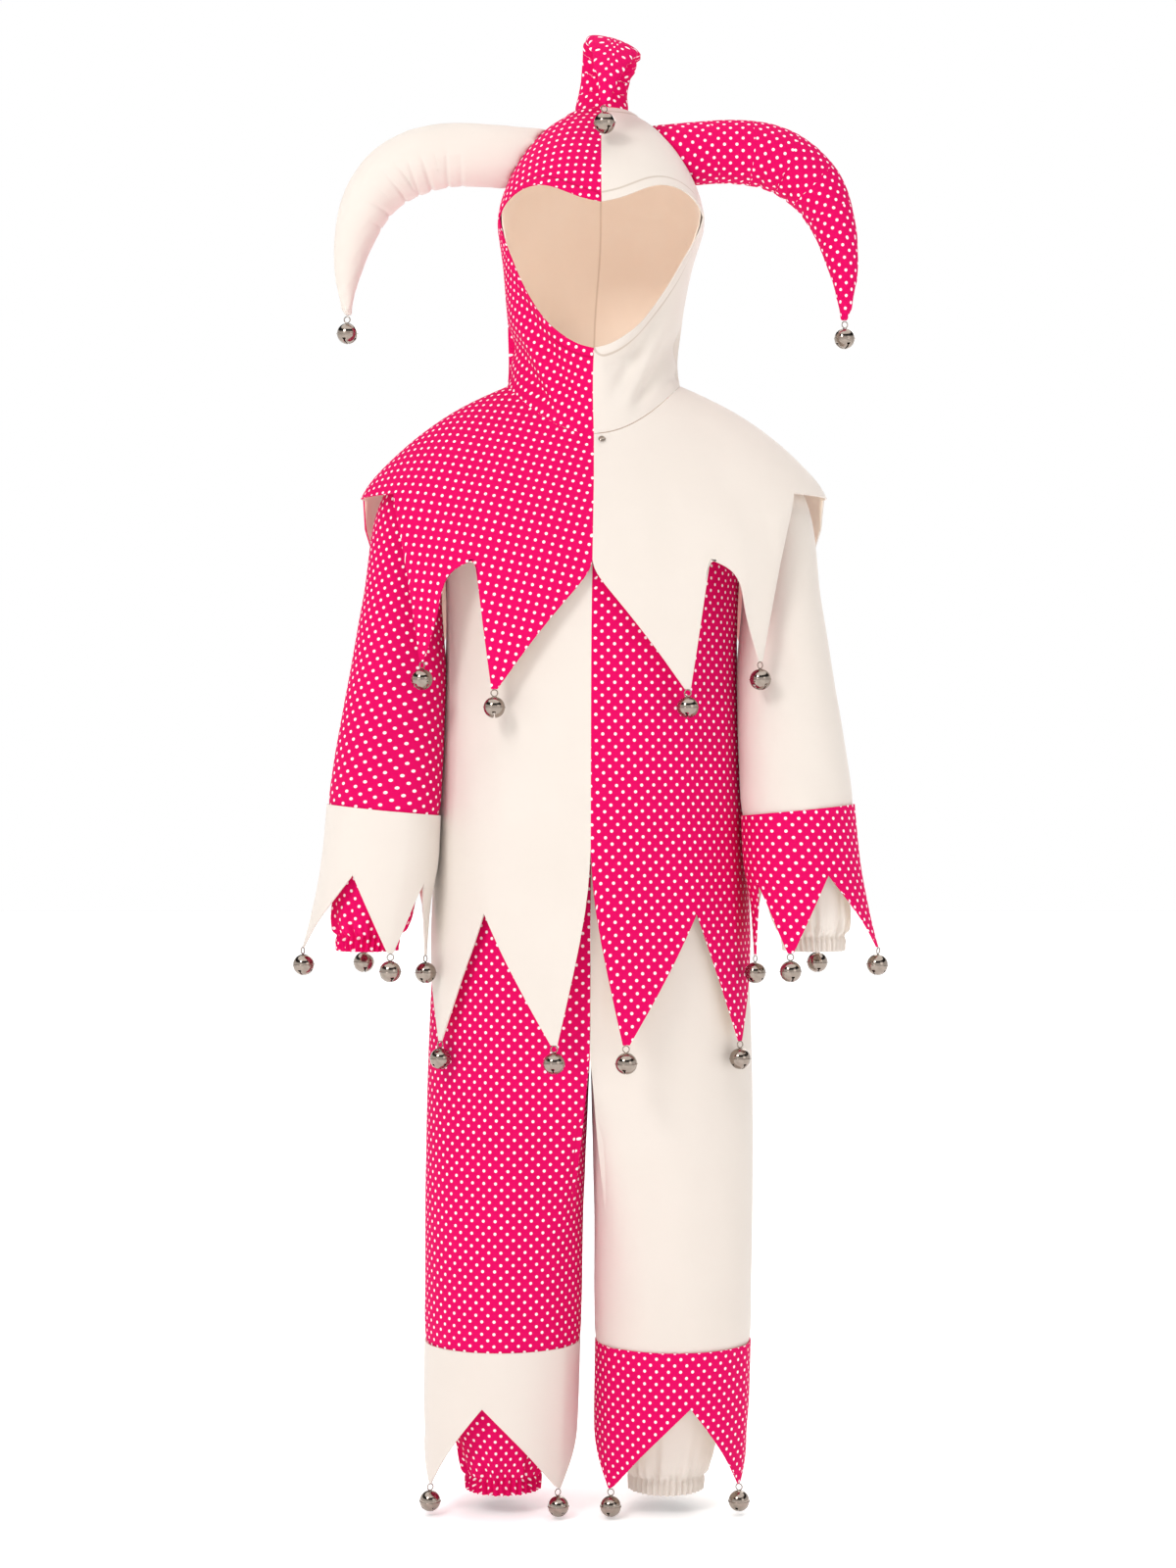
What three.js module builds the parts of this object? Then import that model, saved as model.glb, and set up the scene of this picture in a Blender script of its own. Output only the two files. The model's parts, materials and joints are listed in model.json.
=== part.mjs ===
// Jester costume: a pointed tunic and cape with a hood of three horns, long sleeves and trousers.
// It is filled out as if worn, hollow and open at the face, wrists, hems and ankles.
// Millimetres, +Z up, front towards -Y, the wearer's left towards +X.
// The origin is the middle of the shoulder line, where the wearer's shoulders hold the costume up.

import * as THREE from 'three';

// Cloth and seams
const CLOTH = 1.6;
const LINING = 1.0;
const SEAM_GAP = 0.3;
const LAYER_GAP = 0.6;
const LINING_GAP = 3;
const ROOT_GAP = 1.2;
const TIP_HALF = 2.6;

// Jingle bells
const BELL_RADIUS = 10;
const BELL_EYE = 6.6;
const EYE_RADIUS = 3.2;
const EYE_NECK = 1.3;
const BELL_SIDES = 8;

// Neck snap
const SNAP_RADIUS = 3.4;
const SNAP_THICK = 1.4;
const SNAP_X = 7;

// Levels of the trousers and the sewn-on cuffs
const WAIST_Z = -300;
const CROTCH_Z = -600;
const LEG_FREE_Z = -770;
const LEG_SEAM_Z = -879;
const ANKLE_Z = -1023;
const LEG_CENTRE = 82.5;
const ANKLE_INSET = 3.5;

// Sway: the body leans a little to the wearer's right on its way down
const SWAY = [
  { z: -60, x: 0 },
  { z: -200, x: -2.5 },
  { z: -600, x: -3.5 },
  { z: -880, x: -6 },
  { z: -1010, x: -9 },
];

// Colours
const PINK = 0xe4006b;
const CREAM = 0xf2e6d5;
const LINING_CREAM = 0xe6c9a4;
const NICKEL = 0x9c948c;

// Neckline: what the hood, the cape and the tunic share
const NECK = { width: 84.5, front: 72.5, back: 72.5, sideZ: 43, frontZ: -12, backZ: 33 };

// Girth rings from the neck down. Each has its half width, its depth to the front and to the back,
// and its height at the side, at the front and at the back.
const CAPE_RINGS = [
  { ...NECK },
  { width: 119, front: 86, back: 88, sideZ: 28, frontZ: -40, backZ: 2 },
  { width: 162, front: 100, back: 101, sideZ: 3, frontZ: -70, backZ: -36 },
  { width: 200, front: 110, back: 109, sideZ: -31, frontZ: -100, backZ: -74 },
  { width: 226, front: 116, back: 114, sideZ: -66, frontZ: -130, backZ: -112 },
  { width: 228, front: 119, back: 117, sideZ: -110, frontZ: -165, backZ: -155 },
  { width: 222, front: 121, back: 119, sideZ: -160, frontZ: -205, backZ: -200 },
  { width: 214, front: 122, back: 120, sideZ: -215, frontZ: -245, backZ: -245 },
  { width: 208, front: 123, back: 121, sideZ: -275, frontZ: -290, backZ: -290 },
];
const TUNIC_RINGS = [
  { width: 83.5, front: 71, back: 71, sideZ: 40.4, frontZ: -14.6, backZ: 30.4 },
  { width: 111, front: 82, back: 84, sideZ: 23.5, frontZ: -38, backZ: -0.5 },
  { width: 146, front: 94, back: 95, sideZ: 1, frontZ: -62, backZ: -30 },
  { width: 160, front: 101, back: 101, sideZ: -20, frontZ: -84, backZ: -58 },
  { width: 159, front: 106, back: 104, sideZ: -62, frontZ: -108, backZ: -92 },
  { width: 147, front: 108, back: 105, sideZ: -104, frontZ: -132, backZ: -124 },
  { width: 140, front: 109, back: 105, sideZ: -150, frontZ: -160, backZ: -158 },
  { width: 142, front: 109, back: 105, sideZ: -250, frontZ: -250, backZ: -250 },
  { width: 148, front: 112, back: 107, sideZ: -342, frontZ: -342, backZ: -342 },
  { width: 153, front: 117, back: 111, sideZ: -437, frontZ: -437, backZ: -437 },
  { width: 157, front: 124, back: 119, sideZ: -520, frontZ: -520, backZ: -520 },
  { width: 162, front: 133, back: 128, sideZ: -610, frontZ: -610, backZ: -610 },
];

// Hood rings from the neckline up. `shift` leans the hood to the wearer's left, and `square`
// fills out the section between front and side.
const HOOD_RINGS = [
  { ...NECK, shift: 0, square: 0 },
  { width: 82, front: 76, back: 74, sideZ: 63, frontZ: 30, backZ: 62, shift: -1, square: 0 },
  { width: 83.5, front: 84, back: 80, sideZ: 85, frontZ: 67, backZ: 90, shift: 0, square: 0.02 },
  { width: 87, front: 90, back: 92, sideZ: 118, frontZ: 105, backZ: 122, shift: 1, square: 0.04 },
  { width: 90, front: 94, back: 102, sideZ: 150, frontZ: 146, backZ: 152, shift: 3, square: 0.06 },
  { width: 97, front: 95, back: 108, sideZ: 180, frontZ: 178, backZ: 182, shift: 6, square: 0.06 },
  { width: 101.5, front: 95, back: 110, sideZ: 198, frontZ: 200, backZ: 203, shift: 7, square: 0.06 },
  { width: 99, front: 92, back: 106, sideZ: 219, frontZ: 222, backZ: 222, shift: 7, square: 0.05 },
  { width: 90, front: 84, back: 97, sideZ: 242, frontZ: 244, backZ: 243, shift: 7, square: 0.04 },
  { width: 78, front: 71, back: 84, sideZ: 264, frontZ: 266, backZ: 265, shift: 7, square: 0.02 },
  { width: 60, front: 55, back: 65, sideZ: 286, frontZ: 287, backZ: 286, shift: 7, square: 0 },
  { width: 44, front: 41, back: 47, sideZ: 298, frontZ: 298, backZ: 298, shift: 7, square: 0 },
  { width: 29, front: 28, back: 30, sideZ: 306, frontZ: 306, backZ: 306, shift: 8, square: 0 },
];

// Face opening: its lower and upper edge at each angle from the front centre
const FACE_EDGE = [
  { angle: 0, low: 67, high: 202 },
  { angle: 10, low: 70, high: 205.5 },
  { angle: 20, low: 79, high: 213.5 },
  { angle: 31, low: 92, high: 222 },
  { angle: 44, low: 115, high: 222 },
  { angle: 55, low: 148, high: 215 },
  { angle: 63, low: 170, high: 208 },
  { angle: 69, low: 187, high: 200 },
];
const FACE_CORNER = 69;
const HOOD_COLUMNS = [0, 10, 20, 31, 44, 55, 63, 69, 80, 94, 110, 128, 146, 163, 180];

// Hems: the height of the edge at each angle, from the front centre to the back centre
const CAPE_HEM = [
  { angle: 0, z: -144 },
  { angle: 25, z: -254, tip: true },
  { angle: 28.6, z: -133 },
  { angle: 35, z: -141 },
  { angle: 38, z: -158 },
  { angle: 39.5, z: -182 },
  { angle: 47.6, z: -227, tip: true },
  { angle: 51, z: -125 },
  { angle: 58, z: -78 },
  { angle: 61, z: -66 },
  { angle: 90, z: -66 },
  { angle: 96, z: -66 },
  { angle: 109, z: -120 },
  { angle: 132, z: -227, tip: true },
  { angle: 140.5, z: -182 },
  { angle: 142, z: -158 },
  { angle: 145, z: -141 },
  { angle: 151.4, z: -133 },
  { angle: 155, z: -254, tip: true },
  { angle: 180, z: -144 },
];
const TUNIC_HEM = [
  { angle: 0, z: -451 },
  { angle: 12, z: -583, tip: true },
  { angle: 40, z: -463 },
  { angle: 62, z: -585, tip: true },
  { angle: 90, z: -463 },
  { angle: 118, z: -585, tip: true },
  { angle: 140, z: -463 },
  { angle: 168, z: -583, tip: true },
  { angle: 180, z: -451 },
];
// Angles on a sleeve run from its outer side (0) over the back (90) to the front (270)
const CUFF_HEM = [
  { angle: -12, z: -496, tip: true },
  { angle: 36, z: -428 },
  { angle: 84, z: -498, tip: true },
  { angle: 128, z: -432 },
  { angle: 186, z: -504, tip: true },
  { angle: 214, z: -436 },
  { angle: 242, z: -500, tip: true },
  { angle: 291, z: -427 },
  { angle: 348, z: -496, tip: true },
];
// Angles on a leg run from its front (0) over the outer side (90) to the back (180)
const ANKLE_HEM = [
  { angle: -53, z: -1014, tip: true },
  { angle: 12, z: -932 },
  { angle: 65, z: -1012, tip: true },
  { angle: 125, z: -932 },
  { angle: 187, z: -1013, tip: true },
  { angle: 248, z: -932 },
  { angle: 307, z: -1014, tip: true },
];

// Armhole: an ellipse on the tunic, in degrees about the side and in rings down from the neck
const ARMHOLE = { ring: 4.15, rings: 1.15, angle: 25 };
const ARMHOLE_STEP = 30;

// Sleeve sections: centre, tilt of the section out of the level, half width across and half depth
const SLEEVE_SECTIONS = [
  { x: 167, y: 0, z: -71, tilt: 70, across: 48, deep: 44 },
  { x: 180, y: -2, z: -98, tilt: 42, across: 41, deep: 44 },
  { x: 181, y: -5, z: -126, tilt: 18, across: 37.5, deep: 43 },
  { x: 181.5, y: -9, z: -156, tilt: 6, across: 37.5, deep: 43 },
  { x: 190.5, y: -26, z: -266, tilt: 6, across: 47, deep: 47.5 },
  { x: 199.5, y: -40, z: -362, tilt: 6, across: 52.5, deep: 51 },
];
const WRIST_SECTIONS = [
  { x: 199.8, y: -40.5, z: -365.5, tilt: 6, across: 49.6, deep: 48.2 },
  { x: 204, y: -47, z: -425, tilt: 6, across: 44, deep: 44 },
  { x: 209, y: -50, z: -466, tilt: 5, across: 36, deep: 37 },
  { x: 212, y: -51, z: -484, tilt: 3, across: 28, deep: 29 },
  { x: 212, y: -51, z: -500, tilt: 0, across: 27, deep: 28 },
];
const CUFF_SECTIONS = [
  { x: 200, y: -40.6, z: -366.5, tilt: 6, across: 52.6, deep: 51.2 },
  { x: 204, y: -48, z: -437, tilt: 6, across: 54, deep: 53 },
  { x: 213, y: -51, z: -490, tilt: 5, across: 58.5, deep: 56 },
  { x: 216.5, y: -52, z: -530, tilt: 5, across: 61.5, deep: 58 },
];
const SLEEVE_SIDES = 24;
const WRIST_GATHER = 2.2;

// Hips above the crotch, then the leg's own sections, with the cuff that is sewn over them
const HIP_RINGS = [
  { z: WAIST_Z, width: 142.4, front: 107.6, back: 103 },
  { z: -380, width: 146, front: 108, back: 104 },
  { z: -450, width: 149, front: 107, back: 104 },
  { z: -520, width: 154, front: 104, back: 103 },
  { z: -570, width: 157, front: 98, back: 98 },
  { z: -620, width: 158, front: 90, back: 92 },
  { z: LEG_FREE_Z, width: 160, front: 80, back: 84 },
];
const LEG_RINGS = [
  { z: CROTCH_Z, width: 77.5, depth: 92 },
  { z: -690, width: 77.5, depth: 82 },
  { z: LEG_FREE_Z, width: 77, depth: 76 },
  { z: LEG_SEAM_Z + 4, width: 77, depth: 72 },
  { z: LEG_SEAM_Z, width: 74.4, depth: 69.4 },
  { z: -930, width: 64, depth: 61 },
  { z: -974, width: 48, depth: 47 },
  { z: -1004, width: 35.5, depth: 35.5 },
  { z: ANKLE_Z, width: 34.5, depth: 34.5 },
];
const ANKLE_CUFF_RINGS = [
  { z: LEG_SEAM_Z - 0.5, width: 77, depth: 72 },
  { z: -950, width: 76.5, depth: 72 },
  { z: -1000, width: 74, depth: 71 },
  { z: -1040, width: 71, depth: 69 },
];
const INSEAM_HALF = 60;
const LEG_SIDES_OUTER = 18;
const LEG_SIDES_INNER = 6;
const ANKLE_GATHER = 2.0;

// Side horn, drawn on the wearer's right: centre of each section and its radius, from the hood out
const SIDE_HORN = [
  { x: -114, z: 268, radius: 31.5 },
  { x: -152, z: 268, radius: 33 },
  { x: -188, z: 256, radius: 33 },
  { x: -213, z: 234, radius: 29.5 },
  { x: -227, z: 207, radius: 24.5 },
  { x: -235, z: 178, radius: 19 },
  { x: -239, z: 152, radius: 14 },
  { x: -240, z: 130, radius: 8.5 },
  { x: -239, z: 112, radius: 4.6 },
];
const HORN_ROOT = { z: 263, radius: 30 };
const HORN_SIDES = 12;
const HORN_TOP = 268;
const LEFT_HORN = { shift: 4, rise: 3, droop: 1.05 };
const RIGHT_HORN = { shift: 0, rise: 0, droop: 1 };

// Top horn: it rises from the crown, folds forward flat and hangs down in front. `lean` turns a
// section forward and `roll` drops its left side.
const TOP_HORN = [
  { x: 8, y: 0.5, z: 306.35, across: 28.4, deep: 28, lean: 0, roll: 0 },
  { x: 8, y: 5, z: 325, across: 25.5, deep: 21, lean: -6, roll: 0 },
  { x: 12, y: 2, z: 344, across: 26, deep: 16, lean: 22, roll: 8 },
  { x: 16, y: -10, z: 360, across: 30, deep: 12, lean: 62, roll: 16 },
  { x: 18, y: -30, z: 367, across: 31, deep: 9, lean: 100, roll: 18 },
  { x: 19, y: -52, z: 357, across: 27, deep: 8, lean: 138, roll: 12 },
  { x: 16, y: -67, z: 338, across: 19, deep: 7, lean: 158, roll: 4 },
  { x: 12, y: -78, z: 316, across: 11, deep: 5.5, lean: 162, roll: 0 },
  { x: 10, y: -86, z: 295, across: 4.6, deep: 3.4, lean: 164, roll: 0 },
];

const rad = THREE.MathUtils.degToRad;
const lerp = THREE.MathUtils.lerp;
const smooth = THREE.MathUtils.smoothstep;
const vec = (x, y, z) => new THREE.Vector3(x, y, z);

// Smooth value of one column of a table at a row position that may lie between rows
function catmull(table, column, at) {
  const last = table.length - 1;
  const row = Math.min(Math.max(Math.floor(at), 0), last - 1);
  const t = at - row;
  const p = (k) => table[Math.min(Math.max(k, 0), last)][column];
  const [a, b, c, d] = [p(row - 1), p(row), p(row + 1), p(row + 2)];
  const bend = (2 * a - 5 * b + 4 * c - d) * t * t + (3 * b - a - 3 * c + d) * t * t * t;
  return 0.5 * (2 * b + (c - a) * t + bend);
}

function rowAt(table, at) {
  const row = {};
  for (const column of Object.keys(table[0])) row[column] = catmull(table, column, at);
  return row;
}

// Straight value of one column of a table, by another column that only rises or only falls
function between(table, key, column, value) {
  for (let k = 1; k < table.length; k += 1) {
    const from = table[k - 1];
    const to = table[k];
    const share = (value - from[key]) / (to[key] - from[key]);
    if (share <= 1) return lerp(from[column], to[column], Math.max(share, 0));
  }
  return table[table.length - 1][column];
}

const sway = (z) => between(SWAY, 'z', 'x', z);

// A point at an angle of a girth ring: 0 is the front centre, 90 the wearer's left side
function girthPoint(ring, angle, fold = 0) {
  const side = Math.sin(rad(angle));
  const face = Math.cos(rad(angle));
  const depth = (face > 0 ? ring.front : ring.back) + fold;
  const faceZ = face > 0 ? ring.frontZ : ring.backZ;
  const fill = 1 + (ring.square ?? 0) * Math.sin(rad(2 * angle)) ** 2;
  return vec(
    (ring.shift ?? 0) + (ring.width + fold) * side * fill,
    -depth * face * fill,
    lerp(ring.sideZ, faceZ, face * face),
  );
}

const capeSurface = (angle, at) => girthPoint(rowAt(CAPE_RINGS, at), angle, capeFold(angle, at));
const hoodSurface = (angle, at) => girthPoint(rowAt(HOOD_RINGS, at), angle);

// Soft folds of the cape that fall from the shoulder between its points
function capeFold(angle, at) {
  const wave = 0.5 + 0.5 * Math.cos(rad(9 * angle + 20));
  return 3 * wave * smooth(at, 3, 7);
}

// Soft folds of the tunic's skirt, front and back only, so that the sides stay clear of the sleeves
function tunicFold(angle, at) {
  const wave = 0.5 + 0.5 * Math.cos(rad(11 * angle));
  return 4.5 * wave * Math.cos(rad(angle)) ** 2 * smooth(at, 7, 10.5);
}

function armholeBite(at) {
  const share = (at - ARMHOLE.ring) / ARMHOLE.rings;
  return Math.abs(share) < 1 ? ARMHOLE.angle * Math.sqrt(1 - share * share) : 0;
}

// The tunic's surface, with the angle drawn back from the side where the armhole is
function tunicSurface(column, at) {
  const kept = 1 - armholeBite(at) / 90;
  const angle = column <= 90 ? column * kept : 180 - (180 - column) * kept;
  return girthPoint(rowAt(TUNIC_RINGS, at), angle, tunicFold(angle, at));
}

// A point of a sleeve section: angle 0 is the outer side and 90 the back
function sectionPoint(section, angle, ripple = 0) {
  const out = vec(Math.cos(rad(section.tilt)), 0, Math.sin(rad(section.tilt)));
  const back = vec(0, 1, 0);
  return vec(section.x, section.y, section.z)
    .addScaledVector(out, (section.across + ripple) * Math.cos(rad(angle)))
    .addScaledVector(back, (section.deep + ripple) * Math.sin(rad(angle)));
}

// The armhole's edge as the tunic's panels have it, in straight stretches, drawn in by a layer gap
function armholePoint(angle) {
  const corner = (turn) => {
    const at = ARMHOLE.ring - ARMHOLE.rings * Math.cos(rad(turn));
    const aside = ARMHOLE.angle * Math.sin(rad(turn));
    return girthPoint(rowAt(TUNIC_RINGS, at), 90 + aside);
  };
  const from = Math.floor(angle / ARMHOLE_STEP) * ARMHOLE_STEP;
  const edge = corner(from).lerp(corner(from + ARMHOLE_STEP), (angle - from) / ARMHOLE_STEP);
  const middle = corner(0).lerp(corner(180), 0.5);
  const inward = middle.sub(edge).normalize();
  return edge.addScaledVector(inward, LAYER_GAP);
}

// Gathers of an elastic edge: every second column stands out
const gather = (angle, step, height) => (Math.round(angle / step) % 2 === 0 ? height : 0);

const SLEEVE_ROWS = [...SLEEVE_SECTIONS, ...WRIST_SECTIONS];
function sleeveSurface(angle, at) {
  if (at < 1) {
    const first = sectionPoint(SLEEVE_ROWS[0], angle);
    return armholePoint(angle).lerp(first, at);
  }
  const section = rowAt(SLEEVE_ROWS, at - 1);
  const tight = smooth(at, SLEEVE_ROWS.length - 2.5, SLEEVE_ROWS.length - 1);
  return sectionPoint(section, angle, gather(angle, 360 / SLEEVE_SIDES, WRIST_GATHER) * tight);
}

const cuffSurface = (angle, at) => sectionPoint(rowAt(CUFF_SECTIONS, at), angle);

// The trouser leg. Columns from 0 to 180 run from the front centre seam over the side to the back
// centre seam, and on to 240 along the inseam, which is there only below the crotch.
function legSurface(column, z) {
  const hip = {
    width: between(HIP_RINGS, 'z', 'width', z),
    front: between(HIP_RINGS, 'z', 'front', z),
    back: between(HIP_RINGS, 'z', 'back', z),
  };
  const leg = legRing(LEG_RINGS, z);
  const free = smooth(-z, -CROTCH_Z, -LEG_FREE_Z);
  let round = vec(SEAM_GAP / 2, 0, z);
  let turn = 0;
  if (column <= 180) {
    const depth = column < 90 ? hip.front : hip.back;
    round = vec(SEAM_GAP / 2 + hip.width * Math.sin(rad(column)), -depth * Math.cos(rad(column)), z);
    turn = -INSEAM_HALF + (column / 180) * (180 + 2 * INSEAM_HALF);
  } else {
    const share = (column - 180) / INSEAM_HALF;
    round.y = lerp(hip.back, -hip.front, share);
    turn = 180 + INSEAM_HALF + share * (180 - 2 * INSEAM_HALF);
  }
  return round.lerp(legPoint(leg, turn, z), free);
}

const legRing = (rings, z) => ({
  width: between(rings, 'z', 'width', z),
  depth: between(rings, 'z', 'depth', z),
});

function legPoint(leg, turn, z) {
  return vec(
    LEG_CENTRE + leg.width * Math.sin(rad(turn)),
    -leg.depth * Math.cos(rad(turn)),
    z,
  );
}

const ankleCuffSurface = (angle, z) => legPoint(legRing(ANKLE_CUFF_RINGS, z), angle, z);

// A row position where the surface reaches a height at this column
function rowOfHeight(surface, column, height, top, bottom) {
  let low = top;
  let high = bottom;
  const falls = surface(column, top).z > surface(column, bottom).z;
  for (let k = 0; k < 40; k += 1) {
    const middle = (low + high) / 2;
    const above = surface(column, middle).z > height;
    if (above === falls) low = middle;
    else high = middle;
  }
  return low;
}

// Columns of a pointed hem: each point gets a short flat tip, and long stretches are divided
function hemEdge(hem, from, to, tipDegrees, widest) {
  const corners = [];
  for (const { angle, z, tip } of hem) {
    if (tip) corners.push({ angle: angle - tipDegrees, z }, { angle: angle + tipDegrees, z });
    else corners.push({ angle, z });
  }
  const edge = [];
  for (let k = 1; k < corners.length; k += 1) {
    const start = corners[k - 1];
    const end = corners[k];
    const parts = Math.max(1, Math.ceil((end.angle - start.angle) / widest));
    for (let n = k === 1 ? 0 : 1; n <= parts; n += 1) {
      edge.push({
        angle: lerp(start.angle, end.angle, n / parts),
        z: lerp(start.z, end.z, n / parts),
      });
    }
  }
  return edge.filter(({ angle }) => angle > from - 0.01 && angle < to + 0.01);
}

// The unit vector that points out of the cloth at a column and row
function outward(surface, column, at, step) {
  const across = surface(column + 0.5, at).sub(surface(column - 0.5, at));
  const down = surface(column, at + step).sub(surface(column, at - step));
  return down.cross(across).normalize();
}

// A closed cloth wall over a grid of columns and rows, with an outer face, an inner face and edges.
// `place` gives the outer point and the outward vector; `keep` leaves cells out; `ring` closes it round.
function wall({ columns, rows, place, keep = () => true, ring = false, thickness = CLOTH }) {
  const points = [];
  const faces = [];
  const spread = ring ? columns.length : columns.length - 1;
  const index = (c, r, inner) => ((c % columns.length) * (rows + 1) + r) * 2 + (inner ? 1 : 0);
  for (const column of columns) {
    for (let r = 0; r <= rows; r += 1) {
      const { point, normal } = place(column, r);
      points.push(point, point.clone().addScaledVector(normal, -thickness));
    }
  }
  const standing = (c, r) => {
    if (r < 0 || r >= rows) return false;
    if (!ring && (c < 0 || c >= spread)) return false;
    return keep((c + spread) % spread, r);
  };
  for (let c = 0; c < spread; c += 1) {
    for (let r = 0; r < rows; r += 1) {
      if (!standing(c, r)) continue;
      const corner = [[c, r], [c, r + 1], [c + 1, r + 1], [c + 1, r]];
      const outer = corner.map(([i, j]) => index(i, j, false));
      const inner = corner.map(([i, j]) => index(i, j, true));
      faces.push([outer[0], outer[1], outer[2]], [outer[0], outer[2], outer[3]]);
      faces.push([inner[0], inner[2], inner[1]], [inner[0], inner[3], inner[2]]);
      const neighbours = [[c - 1, r], [c, r + 1], [c + 1, r], [c, r - 1]];
      neighbours.forEach(([i, j], side) => {
        if (standing(i, j)) return;
        const next = (side + 1) % 4;
        faces.push([outer[next], outer[side], inner[side]], [outer[next], inner[side], inner[next]]);
      });
    }
  }
  return { points, faces };
}

// A solid skinned over rings of points, with a closed cap at each end
function skinned(rings) {
  const points = [];
  const faces = [];
  const sides = rings[0].length;
  for (const ring of rings) points.push(...ring);
  const middle = (ring) => ring.reduce((sum, p) => sum.add(p), vec(0, 0, 0)).divideScalar(sides);
  const first = points.push(middle(rings[0])) - 1;
  const last = points.push(middle(rings[rings.length - 1])) - 1;
  const end = (rings.length - 1) * sides;
  for (let k = 0; k < sides; k += 1) {
    const next = (k + 1) % sides;
    faces.push([first, k, next], [last, end + next, end + k]);
    for (let r = 0; r < rings.length - 1; r += 1) {
      const here = r * sides;
      const beyond = here + sides;
      faces.push([here + k, beyond + k, beyond + next], [here + k, beyond + next, here + next]);
    }
  }
  return { points, faces };
}

function geometryOf({ points, faces }, mirrored) {
  const used = new Map();
  const positions = [];
  const indices = [];
  const take = (k) => {
    if (!used.has(k)) {
      used.set(k, positions.length / 3);
      const p = points[k];
      positions.push((mirrored ? -p.x : p.x) + sway(p.z), p.y, p.z);
    }
    return used.get(k);
  };
  for (const [a, b, c] of faces) {
    const order = mirrored ? [c, b, a] : [a, b, c];
    indices.push(...order.map(take));
  }
  const geometry = new THREE.BufferGeometry();
  geometry.setAttribute('position', new THREE.Float32BufferAttribute(positions, 3));
  geometry.setIndex(indices);
  geometry.computeVertexNormals();
  return geometry;
}

const costume = new THREE.Group();

function addMesh(name, geometry, color, roughness = 0.85, metalness = 0) {
  const material = new THREE.MeshStandardMaterial({ color, roughness, metalness });
  const mesh = new THREE.Mesh(geometry, material);
  mesh.name = name;
  costume.add(mesh);
  return mesh;
}

// Moves the first and last column of a panel off its seams by half a seam gap
function offSeams(columns, radius) {
  const back = (SEAM_GAP / 2 / radius) * (180 / Math.PI);
  const moved = [...columns];
  moved[0] += back;
  moved[moved.length - 1] -= back;
  return moved;
}

// A panel of the cape or tunic from its neckline to its pointed hem
function girthPanel(surface, edge, upperRows, lowerRows, bottom, seamRadius) {
  const angles = edge.map(({ angle }) => angle);
  const columns = offSeams(angles, seamRadius);
  const split = upperRows[upperRows.length - 1];
  const ends = new Map();
  columns.forEach((column, k) => {
    ends.set(column, rowOfHeight(surface, column, edge[k].z, 0, bottom));
  });
  const place = (column, r) => {
    const end = ends.get(column);
    const upper = Math.min(split, end);
    const at = r < upperRows.length
      ? (upperRows[r] / split) * upper
      : lerp(upper, end, (r - upperRows.length + 1) / lowerRows);
    return { point: surface(column, at), normal: outward(surface, column, at, 0.02) };
  };
  return wall({ columns, rows: upperRows.length - 1 + lowerRows, place });
}

// A jingle bell with its eye at the top, hung from a point of cloth
const BELL_PROFILE = [
  [0, -BELL_RADIUS],
  ...[-48, 0, 48].map((turn) => [BELL_RADIUS * Math.cos(rad(turn)), BELL_RADIUS * Math.sin(rad(turn))]),
  [EYE_NECK, BELL_RADIUS - 0.2],
  [EYE_RADIUS, BELL_RADIUS + BELL_EYE / 2],
  [EYE_NECK, BELL_RADIUS + BELL_EYE],
  [0, BELL_RADIUS + BELL_EYE],
].map(([radius, height]) => new THREE.Vector2(radius, height));

function addBell(name, tip, mirrored = false) {
  const bell = addMesh(name, new THREE.LatheGeometry(BELL_PROFILE, BELL_SIDES), NICKEL, 0.3, 0.9);
  bell.rotation.x = Math.PI / 2;
  const hang = BELL_RADIUS + BELL_EYE + SEAM_GAP;
  bell.position.set((mirrored ? -tip.x : tip.x) + sway(tip.z), tip.y, tip.z - hang);
}

// Bells at every point of a hem, numbered in the order of its table
function addHemBells(label, side, mirrored, hem, surface, rowFor) {
  const tips = hem.filter(({ tip, angle }) => tip && angle >= 0);
  tips.forEach(({ angle, z }, k) => {
    const at = rowFor(angle, z);
    const point = surface(angle, at).addScaledVector(outward(surface, angle, at, 0.02), -CLOTH / 2);
    point.z = z;
    addBell(`bell_${label}_${side}_${k + 1}`, point, mirrored);
  });
}

const SIDES = [
  { side: 'left', mirrored: false, hoodColor: CREAM, tunicColor: PINK, limbColor: CREAM, trimColor: PINK },
  { side: 'right', mirrored: true, hoodColor: PINK, tunicColor: CREAM, limbColor: PINK, trimColor: CREAM },
];

const ARMHOLE_ROWS = [0, 30, 60, 90, 120, 150, 180]
  .map((turn) => ARMHOLE.ring - ARMHOLE.rings * Math.cos(rad(turn)));
const TUNIC_UPPER_ROWS = [0, 1, 2, ...ARMHOLE_ROWS, 6.4];
const CAPE_UPPER_ROWS = [0, 0.8, 1.6, 2.5, 3.3];

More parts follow.
